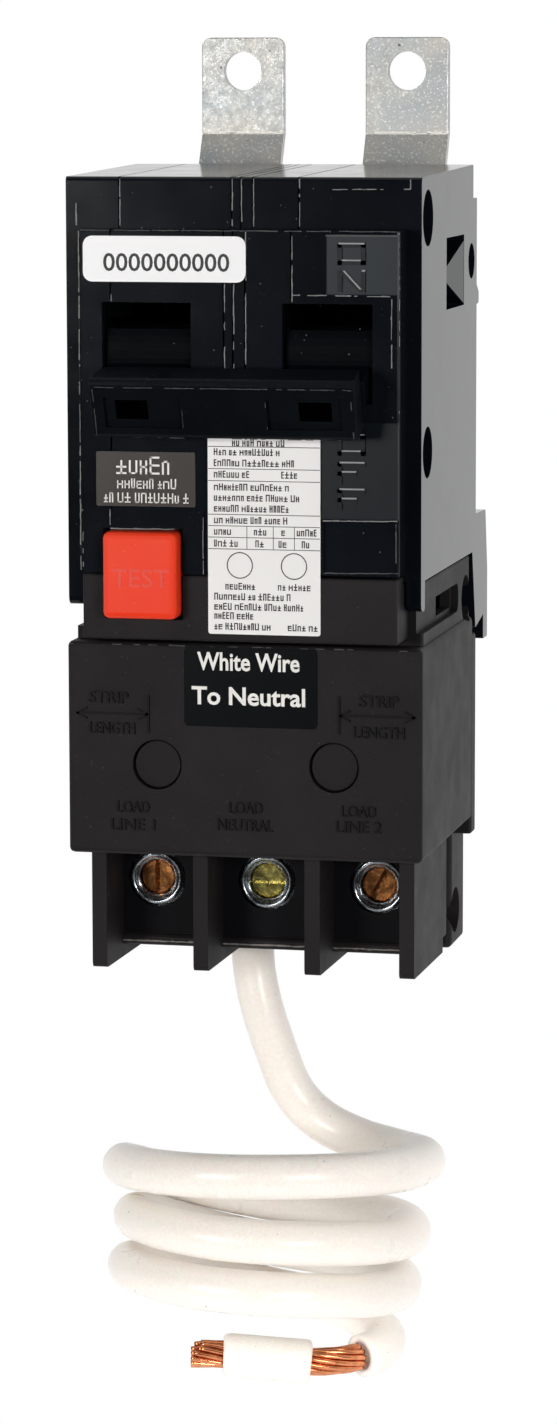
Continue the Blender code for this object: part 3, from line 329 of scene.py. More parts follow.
WHITE = wire_insulation()
BY_SLOT = {"case_black": CASE, "module_black": MODULE, "button_red": RED, "zinc_plate": ZINC,
           "lug_silver": SILVER, "screw_brass": BRASS, "copper": COPPER, "coil_copper": COPPER,
           "spring_steel": STEEL, "circuit_board": BOARD, "ferrite": FERRITE, "arc_fibre": FIBRE,
           "wire_white": WHITE}
BY_NODE = {"terminal_screw_left": BRONZE, "terminal_screw_middle": YELLOW, "terminal_screw_right": BRONZE,
           "toggle_left": DRUM_SHADED, "toggle_right": DRUM_SHADED, "handle_tie": HANDLE}


def dress_frame():
    """Give each CAD node its own material, or else its slot's."""
    for part in frame["record"]["subparts"]:
        obj = frame["nodes"][part["node"]]
        obj.data.materials.clear()
        obj.data.materials.append(BY_NODE.get(part["node"], BY_SLOT[part["material_slot"]]).mat)


dress_frame()


# ---------------------------------------------------------------- helpers for added pieces

def add(name, bm, shader, body=ROOT, smooth=False):
    """Turn a bmesh in millimetres into a piece that rides on a body."""
    mesh = bpy.data.meshes.new(name)
    bm.transform(Matrix.Scale(MM, 4))
    bm.to_mesh(mesh)
    bm.free()
    if smooth:
        mesh.shade_smooth()
    obj = new_object(name, mesh)
    mesh.materials.append(shader.mat)
    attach(obj, body)
    return obj


def add_box(bm, low, high):
    """A box between two corners."""
    corners = [bm.verts.new((x, y, z)) for x in (low[0], high[0]) for y in (low[1], high[1])
               for z in (low[2], high[2])]
    for face in ((0, 1, 3, 2), (4, 6, 7, 5), (0, 4, 5, 1), (2, 3, 7, 6), (0, 2, 6, 4), (1, 5, 7, 3)):
        bm.faces.new([corners[k] for k in face])


def add_prism(bm, outline, front, back):
    """An outline of (x, z) corners stretched between two y planes."""
    near = [bm.verts.new((x, front, z)) for x, z in outline]
    far = [bm.verts.new((x, back, z)) for x, z in outline]
    bm.faces.new(near)
    bm.faces.new(far[::-1])
    for k in range(len(outline)):
        bm.faces.new((near[k - 1], far[k - 1], far[k], near[k]))


def round_rect(x0, z0, x1, z1, radius, steps=5):
    outline = []
    for cx, cz, start in ((x1 - radius, z1 - radius, 0), (x0 + radius, z1 - radius, 90),
                          (x0 + radius, z0 + radius, 180), (x1 - radius, z0 + radius, 270)):
        for step in range(steps + 1):
            angle = math.radians(start + 90 * step / steps)
            outline.append((cx + radius * math.cos(angle), cz + radius * math.sin(angle)))
    return outline


def plate(name, rect, front, thickness, radius, shader, bevel=0.0):
    bm = bmesh.new()
    add_prism(bm, round_rect(*rect, radius) if radius else
              [(rect[0], rect[1]), (rect[2], rect[1]), (rect[2], rect[3]), (rect[0], rect[3])],
              front, front + thickness)
    bmesh.ops.recalc_face_normals(bm, faces=bm.faces)
    if bevel:
        rim = [e for e in bm.edges if all(abs(v.co.y - front) < 1e-6 for v in e.verts)]
        bmesh.ops.bevel(bm, geom=rim, offset=bevel, segments=2, affect="EDGES", profile=0.5)
    return add(name, bm, shader)


def lettering(name, text, size, centre, front, shader, height, width, bold, body=ROOT):
    """Raised generic letters on a face that looks towards -Y, stretched to a width."""
    curve = bpy.data.curves.new(name, "FONT")
    curve.body = text
    curve.size = size
    curve.align_x, curve.align_y = "CENTER", "CENTER"
    curve.extrude = height / 2
    curve.offset = bold
    curve.resolution_u = 3
    source = new_object(name + "_source", curve)
    bpy.context.view_layer.update()
    mesh = bpy.data.meshes.new_from_object(source.evaluated_get(bpy.context.evaluated_depsgraph_get()))
    bpy.data.objects.remove(source, do_unlink=True)
    xs, ys = [v.co.x for v in mesh.vertices], [v.co.y for v in mesh.vertices]
    middle = Vector(((max(xs) + min(xs)) / 2, (max(ys) + min(ys)) / 2, 0.0))
    stretch = width / (max(xs) - min(xs))
    mesh.transform(Matrix.Translation((centre[0], front - height / 2, centre[1]))
                   @ Matrix.Rotation(math.radians(90), 4, "X")
                   @ Matrix.Diagonal((stretch, 1, 1, 1)) @ Matrix.Translation(-middle))
    mesh.transform(Matrix.Scale(MM, 4))
    mesh.materials.clear()
    mesh.materials.append(shader.mat)
    obj = new_object(name, mesh)
    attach(obj, body)
    return obj


def scribble(bm, start, end, z, height, front, rng, weight):
    """A row of marks that reads as small print from afar and says nothing."""
    x = start
    stroke = height * weight
    while x < end - height * 0.5:
        word = rng.randint(2, 8)
        for _ in range(word):
            width = height * rng.uniform(0.38, 0.62)
            if x + width > end:
                return
            low, tall = z - height / 2, height * (1.0 if rng.random() < 0.35 else 0.78)
            kind = rng.randint(0, 4)
            bars = []
            if kind != 3:
                bars.append((x, low, x + stroke, low + tall))
            if kind in (0, 1, 4):
                bars.append((x + width - stroke, low, x + width, low + tall))
            if kind in (0, 2):
                bars.append((x, low + tall - stroke, x + width, low + tall))
            if kind in (1, 2, 3):
                bars.append((x, low, x + width, low + stroke))
            if kind in (2, 3, 4):
                bars.append((x, low + tall * 0.45, x + width, low + tall * 0.45 + stroke))
            if kind == 3:
                bars.append((x + width / 2 - stroke / 2, low, x + width / 2 + stroke / 2, low + tall))
            for x0, z0, x1, z1 in bars:
                corners = ((x0, front, z0), (x1, front, z0), (x1, front, z1), (x0, front, z1))
                bm.faces.new([bm.verts.new(corner) for corner in corners])
            x += width + height * 0.14
        x += height * 0.30


def strip(bm, start, end, front, width, rng, coverage, lift=0.03):
    """A broken pale line between two (x, z) points on a front face, used for painted highlights and for
    rubbed wear.
    """
    a, b = Vector(start), Vector(end)
    along = (b - a).normalized()
    side = Vector((-along.y, along.x))
    length, place = (b - a).length, 0.0
    while place < length:
        step = min(rng.uniform(0.25, 1.4), length - place)
        if rng.random() < coverage:
            w0, w1 = width * rng.uniform(0.45, 1.15) / 2, width * rng.uniform(0.45, 1.15) / 2
            drift = side * rng.uniform(-0.03, 0.03)
            p, q = a + along * place + drift, a + along * (place + step) + drift
            quad = [p - side * w0, q - side * w1, q + side * w1, p + side * w0]
            bm.faces.new([bm.verts.new((v.x, front - lift, v.y)) for v in quad])
        place += step


# ---------------------------------------------------------------- labels and raised plates

PAPER = Shader("label_paper", (0.95, 0.96, 0.98), 0.42)
PAPER_GREY = Shader("label_silver", (0.86, 0.86, 0.85), 0.36)
INK = Shader("label_ink", (0.012, 0.012, 0.014), 0.5)
BROWN_FILM = Shader("label_brown", (0.030, 0.023, 0.020), 0.30, Specular_IOR_Level=0.3)
BLACK_FILM = Shader("label_black", (0.0016, 0.0024, 0.0034), 0.22, Specular_IOR_Level=0.2)
PRINT = Shader("label_print", (0.84, 0.83, 0.80), 0.45)
# The ON plate is painted lighter than the case plastic around it: painted light.
PLATE_LIT = Shader("raised_plate_painted_light", (0.018, 0.024, 0.029), 0.34, Specular_IOR_Level=0.2)
PLATE_DARK = Shader("raised_plate_dark", (0.0055, 0.0085, 0.0115), 0.32, Specular_IOR_Level=0.2)
PLATE_LETTER = Shader("raised_letter", (0.0045, 0.0065, 0.0085), 0.35, Specular_IOR_Level=0.2)
# Light grey strips on the top edges of the raised letters: painted highlights.
SHINE = Shader("letter_shine", (0.27, 0.28, 0.285), 0.5)
# A pale strip along the ledge under the terminals: painted highlight.
LEDGE_SHINE = Shader("ledge_shine", (0.17, 0.155, 0.145), 0.5)
# Pale metal for the line tabs' bends: painted highlight.
TAB_SHINE = Shader("tab_shine", (0.90, 0.88, 0.82), 0.4)
# Pale strips along edges and joints: painted highlights, partly rubbed wear.
EDGE_SHINE_AND_WEAR = Shader("edge_highlight_and_wear", (0.20, 0.205, 0.205), 0.6)
FAINT_SHINE_AND_WEAR = Shader("faint_edge_highlight_and_wear", (0.055, 0.058, 0.060), 0.6)
RED_DARK = Shader("button_red_shade", (0.80, 0.040, 0.014), 0.42)
MARKS = Shader("module_marks", (0.0050, 0.0044, 0.0048), 0.5, Specular_IOR_Level=0.12)


def label_rings(bm, front):
    """Two empty rings where the rating label has its marks."""
    steps, height, inner, outer = 28, 56.3, 1.72, 1.88
    for centre in (0.68, 8.4):
        for k in range(steps):
            a, b = 2 * math.pi * k / steps, 2 * math.pi * (k + 1) / steps
            corners = [(centre + r * math.cos(t), front, height + r * math.sin(t))
                       for r, t in ((inner, a), (inner, b), (outer, b), (outer, a))]
            bm.faces.new([bm.verts.new(corner) for corner in corners])


def labels():
    """Four labels, with generic words or print that says nothing."""
    rng = random.Random(11)
    front, print_front = FACE - LABEL_LIFT, FACE - PRINT_LIFT
    plate("serial_label", (-21.6, 95.6, 1.62, 101.95), front, LABEL_THICK, 1.3, PAPER)
    lettering("serial_digits", "0000000000", 3.5, (-9.68, 98.32), front, INK, 0.02, 18.0, 0.04)

    plate("level_label", (-19.9, 64.3, -5.65, 71.95), front, LABEL_THICK, 0.25, BROWN_FILM)
    bm = bmesh.new()
    for start, end, z, height, weight in ((-17.0, -8.2, 70.05, 2.5, 0.11), (-16.9, -8.3, 67.5, 1.42, 0.13),
                                          (-18.8, -6.3, 65.5, 1.42, 0.13)):
        scribble(bm, start, end, z, height, print_front, rng, weight)
    add("level_marks", bm, PRINT)

    plate("rating_label", (-3.87, 46.6, 12.15, 74.2), front, LABEL_THICK, 0.35, PAPER_GREY)
    bm = bmesh.new()
    title, body = 1.0, 0.98
    rows = ((73.45, -0.4, 7.2, title), (72.14, -3.0, 6.9, body), (70.61, -3.0, 8.5, body),
            (69.02, -3.0, 2.5, body), (69.02, 6.6, 9.4, body), (67.24, -3.0, 7.8, body),
            (65.77, -3.0, 9.7, body), (64.26, -3.0, 7.7, body), (62.63, -3.0, 7.8, body),
            (61.03, -3.0, 0.0, body), (59.37, -3.0, 0.4, body), (61.03, 2.7, 4.7, body),
            (59.37, 2.9, 4.3, body), (61.03, 6.6, 7.4, body), (59.37, 6.2, 7.6, body),
            (61.03, 8.8, 11.9, body), (59.37, 9.5, 11.0, body), (53.37, -1.4, 2.9, body),
            (53.37, 6.1, 11.2, body), (51.92, -3.0, 8.3, body), (50.5, -3.0, 10.3, body),
            (49.21, -3.0, 3.1, body), (47.72, -3.0, 5.8, body), (47.72, 7.5, 11.8, body))
    for z, start, end, height in rows:
        scribble(bm, start, end, z, height, print_front, rng, 0.17)
    half, behind = 0.05, print_front + 0.01
    for z in (72.87, 69.78, 68.1, 63.4, 61.8, 60.2, 58.57):
        add_box(bm, (-3.8, print_front, z - half), (12.08, behind, z + half))
    for x in (1.7, 5.46, 8.47):
        add_box(bm, (x - half, print_front, 58.57), (x + half, behind, 61.8))
    label_rings(bm, print_front)
    add("rating_marks", bm, INK)

    front = COVER - LABEL_LIFT
    plate("wire_label", (-8.5, 32.8, 10.75, COVER_EDGE), front, LABEL_THICK, 0.7, BLACK_FILM)
    for line, words, z, width in ((1, "White Wire", 42.1, 14.8), (2, "To Neutral", 37.2, 16.4)):
        lettering("wire_words_%d" % line, words, 3.55, (0.8, z), front, PRINT, 0.02, width, 0.08)


LETTER_LEFT, LETTER_RIGHT, LETTER_STROKE, LETTER_HEIGHT = 14.65, 18.55, 0.62, 3.0


def letter_bars(kind, top):
    """The dark bars of one stacked letter and the painted highlights on their top edges, as (x, z) boxes."""
    left, right, wide, low = LETTER_LEFT, LETTER_RIGHT, LETTER_STROKE, top - LETTER_HEIGHT
    bars, shine = [(left, low, left + wide, top)], []
    if kind in "ON":
        bars.append((right - wide, low, right, top))
    if kind == "O":
        bars += [(left, top - wide, right, top), (left, low, right, low + wide)]
        shine = [(left + 0.15, top - 0.16, right - 0.1, top + 0.05),
                 (left + wide, low + wide - 0.06, right - wide, low + wide + 0.12)]
    elif kind == "F":
        arm = top - 1.9
        bars += [(left, top - wide, right, top), (left, arm, right - 1.2, arm + wide)]
        shine = [(left + 0.3, top - 0.15, right - 0.1, top + 0.06),
                 (left + wide, arm + wide - 0.15, right - 1.2, arm + wide + 0.06)]
    return bars, shine


def raised_plates():
    """The ON and OFF plates with their letters, and the collar and letters of the test button."""
    # The ON plate is painted lighter than the plastic: painted light.
    plate("on_plate", (13.0, 94.0, 23.2, 102.3), FACE - 0.28, 0.3, 0.0, PLATE_LIT, bevel=0.14)
    plate("off_plate", (12.3, 63.0, 23.2, 76.5), FACE - 0.28, 0.3, 0.0, PLATE_DARK, bevel=0.1)
    dark, light = bmesh.new(), bmesh.new()
    for top, kind in ((101.15, "O"), (97.45, "N"), (74.9, "O"), (71.0, "F"), (67.3, "F")):
        bars, shine = letter_bars(kind, top)
        for x0, z0, x1, z1 in bars:
            add_box(dark, (x0, FACE - 0.52, z0), (x1, FACE - 0.26, z1))
        # Painted highlights on the letters' top edges.
        for x0, z0, x1, z1 in shine:
            add_box(light, (x0, FACE - 0.56, z0), (x1, FACE - 0.50, z1))
    left, right = LETTER_LEFT, LETTER_RIGHT
    add_prism(dark, [(left, 97.45), (left + 0.85, 97.45), (right, 94.45), (right - 0.85, 94.45)],
              FACE - 0.53, FACE - 0.26)
    # Painted highlights on the N's diagonal and at its top corner.
    add_prism(light, [(left + 0.75, 97.35), (left + 1.0, 97.4), (right - 0.5, 94.85), (right - 0.75, 94.8)],
              FACE - 0.57, FACE - 0.50)
    add_box(light, (right - 0.45, FACE - 0.56, 97.25), (right, FACE - 0.50, 97.5))
    for bm, name, shader in ((dark, "stacked_letters", PLATE_LETTER), (light, "letter_highlights", SHINE)):
        bmesh.ops.recalc_face_normals(bm, faces=bm.faces)
        add(name, bm, shader)
    # Pale strips on the ON plate's top and right edges: painted highlights.
    bm = bmesh.new()
    add_box(bm, (12.95, FACE - 0.32, 102.05), (23.25, FACE - 0.24, 102.25))
    add_box(bm, (23.05, FACE - 0.32, 94.0), (23.18, FACE - 0.24, 102.2))
    add("plate_rim_highlight", bm, FAINT_SHINE_AND_WEAR)

    bm = bmesh.new()
    for low, high in (((-21.9, 54.9), (-18.9, 63.9)), ((-18.9, 61.3), (-7.4, 63.9)),
                      ((-7.4, 54.9), (-4.4, 63.9))):
        add_box(bm, (low[0], FACE - 0.35, low[1]), (high[0], FACE + 0.02, high[1]))
    bmesh.ops.remove_doubles(bm, verts=bm.verts, dist=1e-4)
    add("button_collar", bm, CASE)
    lettering("test_letters", "TEST", 3.6, (-12.9, 54.5), BUTTON_FRONT, RED_DARK, 0.05, 8.3, 0.05,
              body="button_body")


def cover_marks():
    """Raised length gauges and terminal names, moulded in the cover's own plastic."""
    bm = bmesh.new()
    front, back = COVER - 0.22, COVER + 0.02
    for left, right, z in ((-24.3, -13.7, 34.25), (13.85, 24.8, 34.85)):
        add_box(bm, (left, front, z - 0.16), (right, back, z + 0.16))
        end = right if left < 0 else left
        add_box(bm, (end - 0.13, front, z - 2.6), (end + 0.13, back, z + 2.8))
        for tip, way in ((left + 0.1, 1), (right - 0.1, -1)):
            for slope in (1, -1):
                outline = [(tip, z - 0.14), (tip + way * 1.5, z + slope * 0.75 - 0.14),
                           (tip + way * 1.5, z + slope * 0.75 + 0.14), (tip, z + 0.14)]
                add_prism(bm, outline if way > 0 else outline[::-1], front, back)
    bmesh.ops.recalc_face_normals(bm, faces=bm.faces)
    add("strip_gauges", bm, MARKS)
    words = (("STRIP", -19.5, 36.6, 5.7), ("LENGTH", -19.0, 32.2, 6.6), ("STRIP", 19.6, 37.0, 5.6),
             ("LENGTH", 19.6, 32.6, 7.2), ("LOAD", -16.0, 20.95, 4.7), ("LINE 1", -16.05, 18.4, 6.4),
             ("LOAD", 0.4, 21.3, 4.8), ("NEUTRAL", 0.3, 18.8, 8.0), ("LOAD", 16.7, 21.3, 4.9),
             ("LINE 2", 16.7, 19.1, 6.5))
    for index, (word, x, z, width) in enumerate(words):
        lettering("cover_word_%d" % index, word, 2.35, (x, z), COVER - 0.02, MARKS, 0.22, width, 0.02)


def edge_highlights_and_wear():
    """Pale, broken lines along moulded edges and joints, painted highlights that are partly rubbed wear, and
    scattered faint specks of wear.
    """
    rng = random.Random(3)
    beside = 0.14
    collar = FACE - 0.36
    # Pale lines along seams and edges: painted highlights, partly rubbed wear.
    bm = bmesh.new()
    for x in SEAMS:
        strip(bm, (x + beside, 103.2), (x + beside, 109.75), SHOULDER, 0.16, rng, 0.85)
    spans = ((92.9, 95.4), (83.5, 95.4), (83.5, 95.4), (83.5, 102.6), (93.0, 102.6))
    for x, (low, high) in zip(SEAMS, spans):
        strip(bm, (x + beside, low), (x + beside, high), FACE, 0.17, rng, 0.8)
    edges = (((-22.22, 55.2), (-22.22, 102.6), FACE, 0.17, 0.75, 0.03),
             ((23.26, 76.5), (23.26, 102.6), FACE, 0.10, 0.4, 0.03),
             ((8.2, 93.95), (22.0, 93.85), FACE, 0.17, 0.9, 0.1),
             ((22.15, 93.5), (22.15, 84.0), FACE, 0.15, 0.8, 0.03),
             ((-17.9, 61.2), (-17.9, 63.8), collar, 0.16, 0.8, 0.03),
             ((-17.8, 61.15), (-8.6, 61.2), collar, 0.16, 0.85, 0.03),
             ((-21.8, 55.0), (-21.8, 63.8), collar, 0.14, 0.7, 0.03),
             ((-4.5, 55.0), (-4.5, 63.3), collar, 0.14, 0.7, 0.03),
             ((12.5, 62.75), (23.1, 62.85), FACE, 0.18, 0.95, 0.05),
             ((22.75, 57.0), (22.75, 62.5), FACE + 0.4, 0.13, 0.9, 0.03),
             ((12.8, 108.3), (23.8, 108.4), SHOULDER, 0.14, 0.7, 0.03),
             ((23.8, 108.4), (23.8, 109.7), SHOULDER, 0.18, 0.9, 0.03),
             ((-23.9, 106.3), (-23.9, 103.2), SHOULDER, 0.2, 0.9, 0.03))
    for start, end, front, width, coverage, lift in edges:
        strip(bm, start, end, front, width, rng, coverage, lift)
    add("edge_highlights_and_wear", bm, EDGE_SHINE_AND_WEAR)

    # Faint pale lines along edges are painted highlights; the scattered specks are wear.
    bm = bmesh.new()
    for start, end, front, width, coverage in (((-22.0, 102.72), (23.0, 102.72), FACE, 0.14, 0.9),
                                               ((-21.2, 54.9), (-19.2, 54.9), FACE, 0.14, 0.9),
                                               ((12.6, 55.45), (23.2, 55.6), FACE, 0.14, 0.8),
                                               ((-25.2, 44.2), (25.3, 44.2), COVER, 0.12, 0.5)):
        strip(bm, start, end, front, width, rng, coverage)
    for _ in range(70):
        x, z = rng.uniform(-24, 24), rng.uniform(57, 109)
        front = SHOULDER if z > 103.2 or abs(x) > 23.5 else FACE
        r = rng.uniform(0.05, 0.14)
        bm.faces.new([bm.verts.new((x + r * math.cos(t), front - 0.03, z + r * math.sin(t)))
                      for t in (0.2, 1.4, 2.9, 4.3, 5.3)])
    add("faint_highlights_and_wear", bm, FAINT_SHINE_AND_WEAR)


def seam_tongues():
    """The tongues that close the three straight seams between the poles, just behind the front."""
    half, low, high = 0.125, 58.0, 109.6
    bm = bmesh.new()
    for x in SEAMS[1:4]:
        add_box(bm, (x - half, SHOULDER + 0.8, low), (x + half, SHOULDER + 2.0, high))
    bmesh.ops.recalc_face_normals(bm, faces=bm.faces)
    add("seam_tongues", bm, CASE)


def handle_details():
    """Painted shade on the floors of the tie's finger pockets, and painted highlights along its edges."""
    axis = HANDLE_AXIS
    turn = Matrix.Translation(axis) @ Matrix.Rotation(HANDLE_REST, 4, "X") @ Matrix.Translation(-axis)
    front, z = axis.y - TIE_RADIUS, axis.z
    bm = bmesh.new()
    # Near-black plates on the pocket floors: painted shade.
    for left, right in ((-15.25, -10.75), (10.65, 15.15)):
        add_box(bm, (left, front + 0.55, z - 1.55), (right, front + 0.65, z + 1.25))
    bm.transform(turn)
    add("tie_pocket_shade", bm, POCKET_SHADE, body="handle")
    rng = random.Random(21)
    # Pale strips along the tie's edges: painted highlights.
    bm = bmesh.new()
    for start, end, width, coverage, lift in (((-18.3, 3.45), (18.2, 3.45), 0.14, 0.6, 0.05),
                                              ((-18.3, -4.15), (18.2, -4.15), 0.13, 0.35, 0.03),
                                              ((-18.2, -3.9), (-18.2, 3.2), 0.12, 0.6, 0.03),
                                              ((18.1, -3.9), (18.1, 3.2), 0.14, 0.7, 0.03),
                                              ((-5.8, -2.6), (-5.8, 1.8), 0.10, 0.4, 0.03),
                                              ((6.1, -2.6), (6.1, 1.8), 0.10, 0.4, 0.03)):
        strip(bm, (start[0], z + start[1]), (end[0], z + end[1]), front, width, rng, coverage, lift)
    bm.transform(turn)
    add("tie_edge_highlights", bm, FAINT_SHINE_AND_WEAR, body="handle")


def wall_behind_screw(bm, rect, centre, hole, front, back):
    """A thin rectangular wall with a round hole for a screw's collar."""
    left, bottom, right, top = rect
    cx, cz = centre
    corners = [math.atan2(z - cz, x - cx) for x in (left, right) for z in (bottom, top)]
    angles = sorted([2 * math.pi * k / 48 - math.pi for k in range(48)] + corners)
    loops = []
    for y in (front, back):
        inner, outer = [], []
        for a in angles:
            dx, dz = math.cos(a), math.sin(a)
            across = (right - cx if dx > 0 else left - cx) / dx if abs(dx) > 1e-9 else math.inf
            upright = (top - cz if dz > 0 else bottom - cz) / dz if abs(dz) > 1e-9 else math.inf
            reach = min(across, upright)
            inner.append(bm.verts.new((cx + dx * hole, y, cz + dz * hole)))
            outer.append(bm.verts.new((cx + dx * reach, y, cz + dz * reach)))
        loops += [inner, outer]
    near_in, near_out, far_in, far_out = loops
    for k in range(len(angles)):
        for a, b in ((near_in, near_out), (near_out, far_out), (far_out, far_in), (far_in, near_in)):
            bm.faces.new((a[k - 1], a[k], b[k], b[k - 1]))


def terminal_details():
    """Rounded rims on the lug collars, thin walls behind them painted dark as shade under the cover, and a
    painted highlight along the ledge below.
    """
    profile = ((2.72, -39.6), (3.0, -40.0), (3.28, -40.45), (3.50, -40.60), (3.75, -40.52), (3.9, -40.2),
               (3.93, -39.6))
    sides = 40
    for side, x in SCREW_X.items():
        bm = bmesh.new()
        rings = [[bm.verts.new((x + r * math.cos(a), y, SCREW_Z + r * math.sin(a)))
                  for a in [2 * math.pi * k / sides for k in range(sides)]] for r, y in profile]
        for first, second in zip(rings, rings[1:] + rings[:1]):
            for k in range(sides):
                bm.faces.new((first[k - 1], first[k], second[k], second[k - 1]))
        bmesh.ops.recalc_face_normals(bm, faces=bm.faces)
        add("collar_rim_" + side, bm, RIM, smooth=True)
    # A pale strip along the ledge below the cells: painted highlight.
    rng = random.Random(4)
    ledge_z, ledge_front = -1.3, -40.76
    bm = bmesh.new()
    for left, right in CELLS.values():
        strip(bm, (left, ledge_z), (right, ledge_z), ledge_front, 0.26, rng, 1.0, 0.02)
    add("ledge_painted_highlight", bm, LEDGE_SHINE)
    # Thin walls behind the screw collars, darker than the module: painted shade under the overhanging cover.
    bottom, top, hole, front, back = -0.1, 17.5, 4.25, -40.05, -39.99
    bm = bmesh.new()
    for side, (left, right) in CELLS.items():
        wall_behind_screw(bm, (left, bottom, right, top), (SCREW_X[side], SCREW_Z), hole, front, back)
    bmesh.ops.recalc_face_normals(bm, faces=bm.faces)
    add("cell_shade_walls", bm, CELL_SHADE)


def tab_details():
    """A painted highlight along the upper bend of each line tab."""
    rng = random.Random(14)
    for side, x in TAB_X.items():
        bm = bmesh.new()
        for z, width, coverage in ((115.0, 0.5, 1.0), (115.3, 0.35, 0.8), (114.75, 0.25, 0.6)):
            strip(bm, (x - TAB_HALF, z), (x + TAB_HALF, z), 0.98, width, rng, coverage, 0.06)
        add("tab_bend_highlight_" + side, bm, TAB_SHINE)


labels()
seam_tongues()
tab_details()
handle_details()
terminal_details()
raised_plates()
cover_marks()
edge_highlights_and_wear()


# ---------------------------------------------------------------- neutral pigtail

WIRE_R, CONDUCTOR_R = 3.2, 2.1
# Radius of a strand, length of one twist, and spacing of the points along it
STRAND_R, STRAND_LAY, STRAND_STEP = 0.41, 56.0, 0.5
# Count and distance from the conductor's axis for each ring of strands
STRAND_RINGS = ((12, 1.64), (6, 0.82), (1, 0.0))
# The coil's axis and heading, its right and left edges by half turns, and its heights by quarter turns
COIL_AXIS, COIL_TURN = (0.0, -41.0), math.radians(12.3)
COIL_SIDES = (22.9, -20.7, 20.9, -19.2, 19.6, -20.1, 18.6)
COIL_HEIGHTS = (-33.0, -30.5, -33.8, -44.2, -43.7, -40.4, -41.3, -50.8, -51.7, -48.0, -48.7, -57.4)
LEAD_ROUTE = ((-6.6, -20.0, 6.0), (-6.6, -20.0, 1.0), (-6.6, -20.0, -4.0), (-6.4, -20.0, -9.0))
LEAD_BEND = ((-0.7, -21.3, -14.5), (1.2, -21.5, -20.6), (4.0, -21.6, -27.6), (8.3, -20.6, -32.0),
             (14.0, -17.3, -34.2), (19.4, -10.9, -34.4))
TAIL_ROUTE = ((9.6, -18.6, -59.6), (14.6, -14.2, -60.9), (17.4, -8.6, -62.2), (16.4, -4.2, -63.0),
              (13.9, -1.9, -63.3))
CONDUCTOR_ROUTE = ((13.5, -1.55, -63.3), (11.0, 0.2, -63.3), (6.6, 1.4, -63.2), (0.0, 1.5, -62.6),
                   (-6.5, 1.5, -62.0), (-11.6, 1.5, -61.9))
COIL_RIGHT = Vector((math.cos(COIL_TURN), math.sin(COIL_TURN), 0.0))
COIL_NEAR = Vector((math.sin(COIL_TURN), -math.cos(COIL_TURN), 0.0))


def beside_coil(right, near, height):
    """A point given by its offsets from the coil's axis and its height."""
    return Vector((*COIL_AXIS, height)) + COIL_RIGHT * right + COIL_NEAR * near


def spline(p0, p1, p2, p3, t):
    """A smooth step from p1 to p2, for numbers or for points."""
    return 0.5 * (2 * p1 + (p2 - p0) * t + (2 * p0 - 5 * p1 + 4 * p2 - p3) * t * t
                  + (3 * p1 - p0 - 3 * p2 + p3) * t ** 3)


def between(values, place):
    """A value at a place between the members of a list."""
    index = min(int(place), len(values) - 2)
    p1, p2 = values[index], values[index + 1]
    p0 = values[index - 1] if index else 2 * p1 - p2
    p3 = values[index + 2] if index + 2 < len(values) else 2 * p2 - p1
    return spline(p0, p1, p2, p3, place - index)


def coil_point(turn):
    """A point of the coil, by turns from its start at the right."""
    right_edge = between(COIL_SIDES[0::2], turn)
    left_edge = between(COIL_SIDES[1::2], max(turn - 0.5, 0.0))
    radius = (right_edge - left_edge) / 2
    angle = 2 * math.pi * turn
    return beside_coil((right_edge + left_edge) / 2 + radius * math.cos(angle),
                       radius * math.sin(angle), between(COIL_HEIGHTS, turn * 4))


def smooth_route(points, spacing):
    """A smooth path through points, with steps of about a given length."""
    ends = [points[0] * 2 - points[1], *points, points[-1] * 2 - points[-2]]
    path = []
    for index in range(1, len(ends) - 2):
        near = ends[index - 1:index + 3]
        steps = max(2, round((near[2] - near[1]).length / spacing))
        path += [spline(*near, step / steps) for step in range(steps)]
    return path + [points[-1]]


def frames(path):
    """Tangent, side and up at each point of a path, with little twist."""
    last = len(path) - 1
    tangents = [(path[min(k + 1, last)] - path[max(k - 1, 0)]).normalized() for k in range(last + 1)]
    side = tangents[0].orthogonal().normalized()
    result = []
    for tangent in tangents:
        side = (side - tangent * side.dot(tangent)).normalized()
        result.append((tangent, side, tangent.cross(side)))
    return result


def sweep(bm, path, radii, sides, closed=True):
    """A round tube along a path with a radius at each point."""
    rings = []
    for point, radius, (_, side, up) in zip(path, radii, frames(path)):
        rings.append([bm.verts.new(point + (side * math.cos(a) + up * math.sin(a)) * radius)
                      for a in [2 * math.pi * k / sides for k in range(sides)]])
    for first, second in zip(rings, rings[1:]):
        for k in range(sides):
            bm.faces.new((first[k - 1], first[k], second[k], second[k - 1]))
    if closed:
        bm.faces.new(rings[0])
        bm.faces.new(rings[-1][::-1])
    return rings


def insulated_path():
    """The white wire's centreline from the case through the coil to the cut end."""
    control = ([Vector(p) for p in LEAD_ROUTE] + [beside_coil(*p) for p in LEAD_BEND]
               + [coil_point(k / 16) for k in range(0, 45)] + [beside_coil(*p) for p in TAIL_ROUTE])
    return smooth_route(control, 1.2)


def strand_paths(route):
    """Centrelines of the strands laid round the conductor's axis, the outer ring first."""
    path = smooth_route(route, STRAND_STEP)
    along, distance = [], 0.0
    for k, point in enumerate(path):
        distance += (point - path[k - 1]).length if k else 0.0
        along.append(distance)
    axes = frames(path)
    strands = []
    for count, radius in STRAND_RINGS:
        for n in range(count):
            line = []
            for point, d, (_, side, up) in zip(path, along, axes):
                a = 2 * math.pi * (n / count + d / STRAND_LAY)
                line.append(point + (side * math.cos(a) + up * math.sin(a)) * radius)
            strands.append(line)
    return strands


